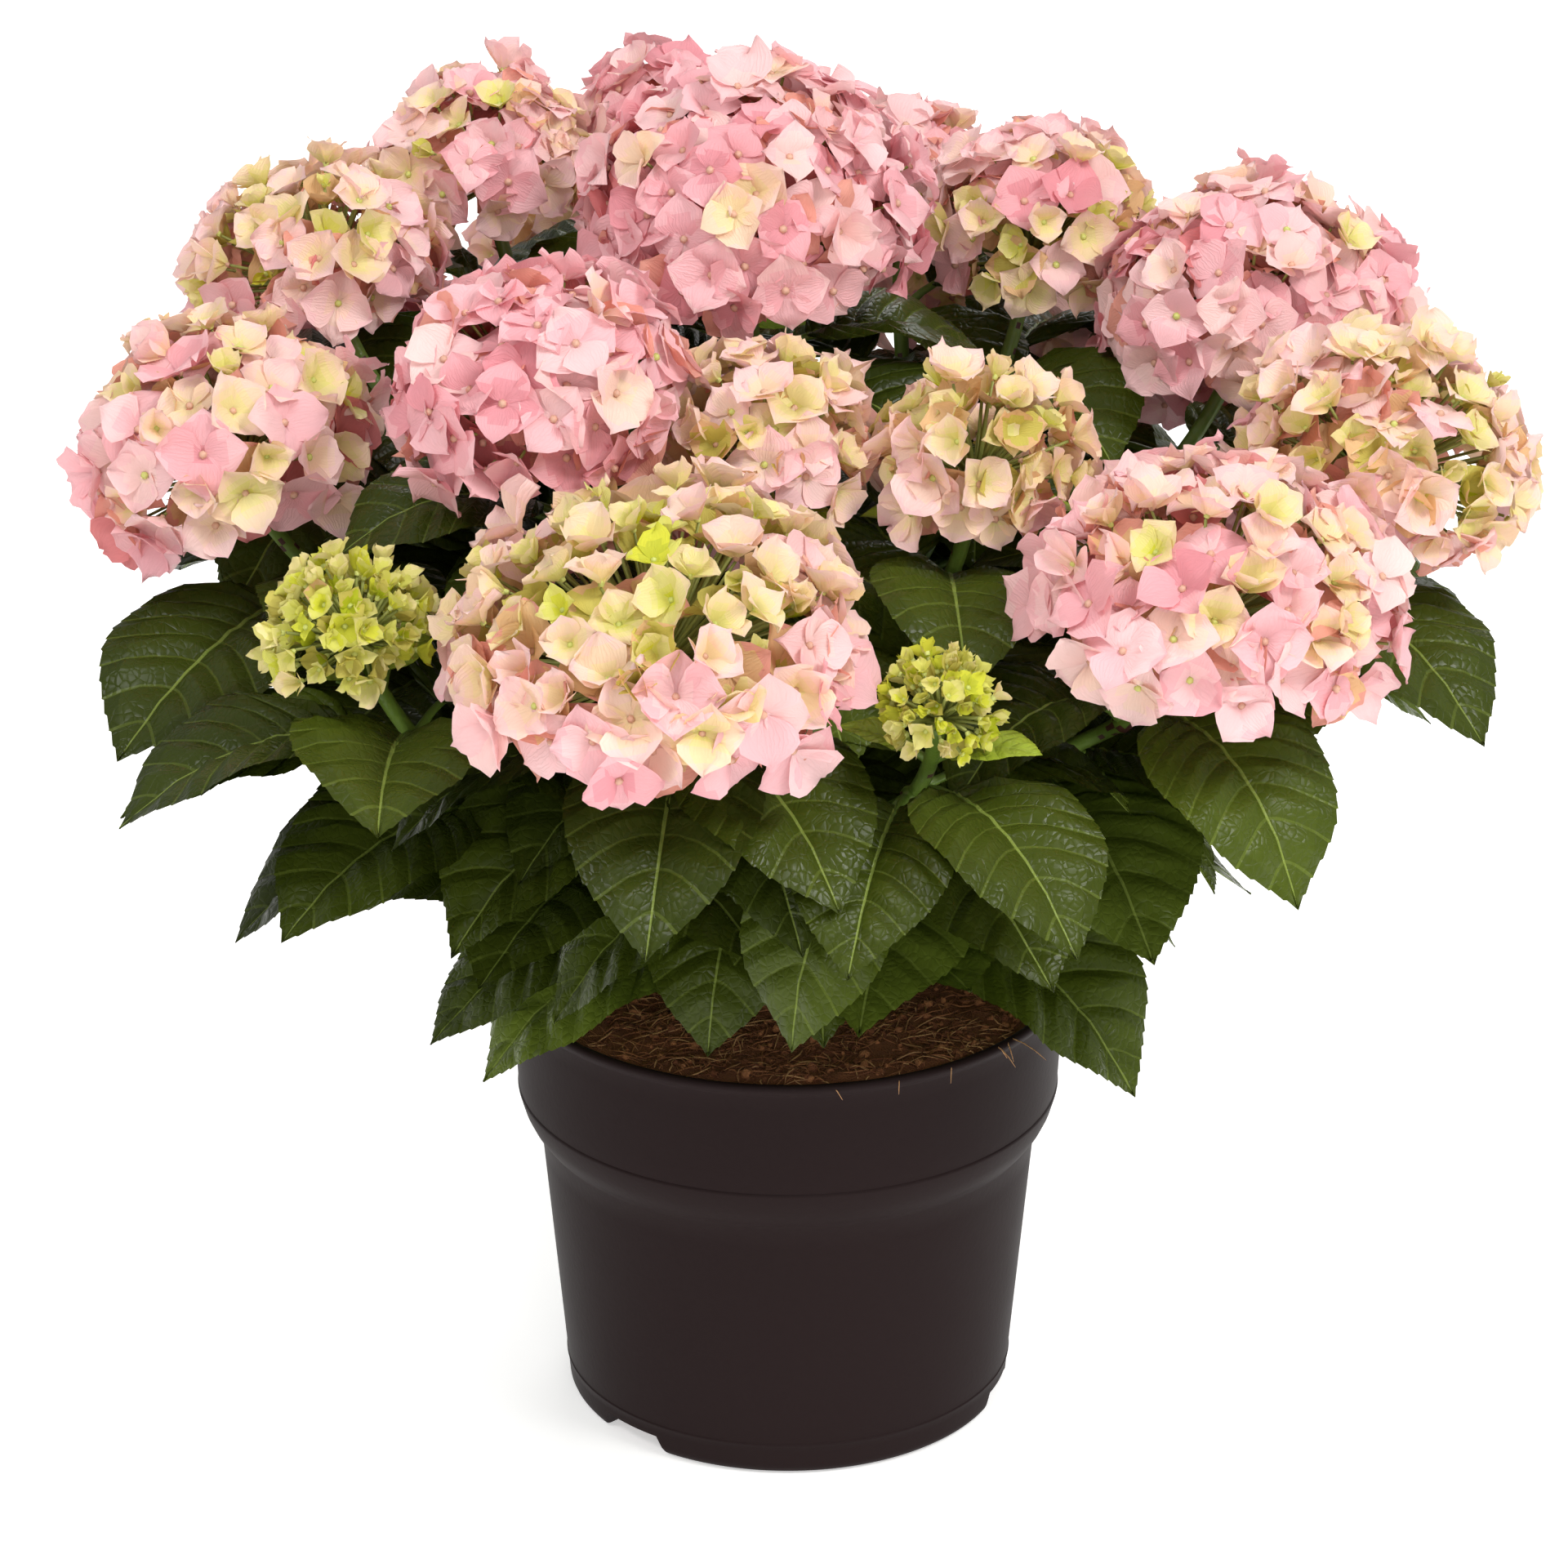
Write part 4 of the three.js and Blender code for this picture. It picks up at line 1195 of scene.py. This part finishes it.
# %% The pot's profile
POT_HEIGHT = 188
POT_WALL = 2.4
POT_FLOOR = 3
BASE_RADIUS = 91
CORNER = 5
SHOULDER = (101.5, 118)
LEDGE = (110.5, 138)
COLLAR_TOP = (113, 182)
LIP_RADIUS = 115
SEAM_HEIGHT = 14
POT_SIDES = 176


def arc(centre, radius, start, end, steps):
    """Points round a centre between two angles in degrees."""
    angles = np.radians(np.linspace(start, end, steps))
    return [(centre[0] + radius * math.cos(angle), centre[1] + radius * math.sin(angle)) for angle in angles]


def stretch(start, end, steps):
    """Points from one to another, without the last."""
    return [tuple(lerp(np.array(start), np.array(end), step / steps)) for step in range(steps)]


def wall_radius(height):
    return lerp(BASE_RADIUS, SHOULDER[0], (height - CORNER) / (SHOULDER[1] - CORNER))


def pot_profile():
    """Radius and height from under the floor, up the outside and down inside."""
    outside = [(0.01, 0), (40, 0), (BASE_RADIUS - CORNER - 4, 0)]
    outside += arc((BASE_RADIUS - CORNER, CORNER), CORNER, -90, 0, 7)
    seam = [(wall_radius(SEAM_HEIGHT + step) + swell, SEAM_HEIGHT + step)
            for step, swell in ((-0.8, 0), (-0.3, 0.35), (0.3, 0.35), (0.8, 0))]
    outside += stretch((wall_radius(8), 8), seam[0], 2) + seam
    outside += stretch((wall_radius(20), 20), SHOULDER, 10)
    outside += [SHOULDER, (103.6, 120.6), (106.4, 124.6), (108.6, 129.2), (109.9, 133.6)]
    outside += arc((LEDGE[0] - 1.2, LEDGE[1] - 1.0), 1.5, -20, 45, 4)
    outside += stretch((LEDGE[0] + 0.1, LEDGE[1] + 1.6), COLLAR_TOP, 6)
    outside += [COLLAR_TOP, (113.4, 182.9), (114.3, 183.6)]
    lip_middle = (LIP_RADIUS - 1.9, POT_HEIGHT - 2.1)
    outside += arc(lip_middle, 2.0, -30, 150, 9)
    inside = [(COLLAR_TOP[0] - POT_WALL, POT_HEIGHT - 4), (LEDGE[0] - POT_WALL, LEDGE[1])]
    inside += [(SHOULDER[0] - POT_WALL, SHOULDER[1]), (BASE_RADIUS - POT_WALL, POT_FLOOR + CORNER)]
    inside += [(BASE_RADIUS - POT_WALL - CORNER, POT_FLOOR), (0.01, POT_FLOOR)]
    return np.array(outside + inside)


# %% Turn the profile and cut the notches
NOTCH_WIDTH = 28
NOTCH_HEIGHT = 8.5
NOTCH_DEPTH = 19
NOTCH_SLOPE = 5
NOTCH_BEARINGS = (-45, 75, 195)


def turned(profile, sides, closed=False):
    """A profile turned about the pot's axis; closed joins its end to its start,
    which makes the skin a watertight one."""
    profile = np.vstack([profile, profile[:1]]) if closed else profile
    angles = np.arange(sides) / sides * math.tau
    x = profile[:, :1] * np.cos(angles)
    y = profile[:, :1] * np.sin(angles)
    z = profile[:, 1:] + 0 * angles
    faces = grid_faces(len(profile), sides, closed=True)
    points = np.stack([x, y, z], axis=-1).reshape(-1, 3) * MM
    if closed:
        points = points[:-sides]
        faces = faces % len(points)
    return points, faces


def notch_wedge(bearing):
    """A wedge that narrows upward, as a throwaway object."""
    wide = NOTCH_WIDTH / 2 + NOTCH_SLOPE
    narrow = NOTCH_WIDTH / 2
    out = heading(bearing)
    right = np.cross(UP, out)
    corners = []
    for reach in (BASE_RADIUS - NOTCH_DEPTH, BASE_RADIUS + NOTCH_DEPTH):
        for side, height in ((-wide, -1), (wide, -1), (narrow, NOTCH_HEIGHT), (-narrow, NOTCH_HEIGHT)):
            corners.append((out * reach + right * side + UP * height) * MM)
    faces = [(3, 2, 1, 0), (4, 5, 6, 7), (1, 5, 4, 0), (2, 6, 5, 1), (3, 7, 6, 2), (0, 4, 7, 3)]
    mesh = bpy.data.meshes.new("notch_wedge")
    mesh.from_pydata(corners, [], faces)
    return put_in_scene("notch_wedge", mesh)


def cut_away(piece, wedges):
    """Subtracts the wedges for good and removes them."""
    for wedge in wedges:
        cut = piece.modifiers.new("notch", "BOOLEAN")
        cut.operation = "DIFFERENCE"
        cut.object = wedge
    graph = bpy.context.evaluated_depsgraph_get()
    piece.data = bpy.data.meshes.new_from_object(piece.evaluated_get(graph))
    piece.modifiers.clear()
    for wedge in wedges:
        bpy.data.objects.remove(wedge)


pot_plastic, tree, shader = new_material("pot_plastic", (36, 26, 26), 9, 0.44, 0.54, specular=0.05)
scuffs = place_group(tree, drift, Scale=420, Low=0, High=1)
raise_surface(tree, shader, scuffs, 0.05 * MM, 0.6)

shell = Gather()
points, faces = turned(pot_profile(), POT_SIDES, closed=True)
shell.add(points, faces)
pot = make_piece("nursery_pot", shell, [pot_plastic], ["pot"])
cut_away(pot, [notch_wedge(bearing) for bearing in NOTCH_BEARINGS])
pot.data.set_sharp_from_angle(angle=math.radians(35))
print("pot faces", len(pot.data.polygons))

# %% [markdown]
# ## Potting mix
# The mix is brown coir: a lumpy crust with short fibres that lie every way and
# a few that hang over the rim. The crust is a disc raised by noise over a root
# ball that fills the pot, and the fibres and crumbs are small meshes scattered
# on it.

# %% The crust
CRUST_RADIUS = 110.2
CRUST_RINGS = 64
CRUST_SIDES = 190


def crust_height(x, y):
    """The height of the mix at a place, in millimetres."""
    place = Vector((x, y, 0)) * 0.045
    lumps = noise.fractal(place, 0.8, 2.1, 5)
    return SOIL_HEIGHT + 1.4 + 2.2 * lumps


def crust_points():
    points = []
    for ring in range(CRUST_RINGS):
        radius = CRUST_RADIUS * (ring + 0.02) / (CRUST_RINGS - 1)
        for side in range(CRUST_SIDES):
            angle = side / CRUST_SIDES * math.tau
            x = radius * math.cos(angle)
            y = radius * math.sin(angle)
            points.append((x, y, min(crust_height(x, y), POT_HEIGHT + 1.5)))
    return np.array(points) * MM


coir_dark = plain_grain("coir_dark", (144, 88, 54), 0.85, 1.0, 260, 0.8 * MM)
coir_brown = plain_grain("coir_brown", (188, 124, 80), 0.8, 0.95, 260, 0.6 * MM)
coir_tan = plain_grain("coir_tan", (222, 168, 116), 0.75, 0.9, 260, 0.4 * MM)
ROOT_BALL = np.array([(0.01, 4), (69, 4), (70, 12), (84, 16), (96, 116), (107, 140), (109.5, 181), (60, 181)])
crust = Gather()
crust.add(crust_points(), grid_faces(CRUST_RINGS, CRUST_SIDES, closed=True))
crust.add(*turned(ROOT_BALL, 96))
make_piece("coir_crust", crust, [coir_dark], ["potting_mix"])

# %% Fibres and crumbs
FIBRES = 2500
RIM_FIBRES = 16
CRUMBS = 1000
scatter = Gather()
random = np.random.default_rng(51)
THINNING = np.array([0.4, 1, 1, 0.8, 0.3])


def add_fibre(path, thick, kind):
    """A fibre along five points, in millimetres, thinner at both ends."""
    points, faces = tube(path * MM, THINNING * thick * MM, 3)
    scatter.add(points, faces, kind)


for _ in range(FIBRES):
    radius = CRUST_RADIUS * math.sqrt(random.random()) * 0.985
    angle = random.uniform(0, math.tau)
    way = random.uniform(0, math.tau)
    length = random.uniform(5, 22)
    bend = random.normal(0, 0.6)
    shares = np.linspace(-0.5, 0.5, 5)
    x = radius * math.cos(angle) + shares * length * np.cos(way + bend * shares)
    y = radius * math.sin(angle) + shares * length * np.sin(way + bend * shares)
    over = np.hypot(x, y) / (CRUST_RADIUS - 1)
    x = x / np.maximum(over, 1)
    y = y / np.maximum(over, 1)
    lift = random.uniform(0.1, 1.8) * (1 - 3 * shares ** 2) + random.normal(0, 0.8) * shares
    z = np.array([crust_height(*spot) for spot in zip(x, y)]) + lift
    thick = random.uniform(0.16, 0.42)
    add_fibre(np.stack([x, y, z], axis=1), thick, random.choice(3, p=(0.35, 0.42, 0.23)))
for _ in range(RIM_FIBRES):
    angle = heading(random.normal(58, 26))
    way = heading(random.uniform(0, 360))
    shares = np.linspace(0, 1, 5)[:, None]
    length = random.uniform(8, 20)
    path = angle * (CRUST_RADIUS - 2) + UP * (POT_HEIGHT - 1.2) + (angle * 0.7 + way * 0.5) * shares * length
    path = path + UP * (5 * shares - 9 * shares ** 2)
    add_fibre(path, 0.3, 2)
for _ in range(CRUMBS):
    radius = (CRUST_RADIUS - 3) * math.sqrt(random.random())
    angle = random.uniform(0, math.tau)
    x = radius * math.cos(angle)
    y = radius * math.sin(angle)
    place = np.array([x, y, crust_height(x, y) + 0.3]) * MM
    size = random.uniform(0.7, 2.4) * random.uniform(0.6, 1.2, 3) * MM
    rough = bead_points * size * (1 + random.normal(0, 0.22, bead_points.shape))
    scatter.add(place + rough @ tilted(unit(random.normal(size=3)), 0), bead_faces, random.choice(2))
make_piece("coir_fibres", scatter, [coir_dark, coir_brown, coir_tan])

# %% [markdown]
# ## Floor
# A pale matt floor that runs out of view on all sides, so that nothing competes
# with the plant. It is staging, not a part of the object.

# %% Floor
FLOOR_REACH = 9
pale_floor, _, shader = new_material("pale_floor", (246, 245, 243), 3, 0.75, 0.9)
shader.inputs["Emission Color"].default_value = (1, 1, 1, 1)
shader.inputs["Emission Strength"].default_value = 0.45
radii = np.array([[0.001, 0], [0.5, 0], [2, 0], [FLOOR_REACH, 0]]) / MM
points, faces = turned(radii, 64)
ground_mesh = bpy.data.meshes.new("studio_floor")
ground_mesh.from_pydata(points, [], faces[:, ::-1].tolist())
ground_mesh.materials.append(pale_floor)
studio_floor = put_in_scene("studio_floor", ground_mesh)
studio_floor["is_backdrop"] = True

# %% [markdown]
# ## Sizes
# The dressed plant's box is printed beside the CAD model's box, so the two can
# be compared after each run. The dressed plant must stay in the CAD model's
# box but for a small allowance.

# %% Print both boxes
low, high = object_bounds()
sizes = {
    "cad": [list(cad_low), list(cad_high)],
    "visual": [list(low), list(high)],
}
print("sizes", [[round(value, 4) for value in corner] for box in sizes.values() for corner in box])
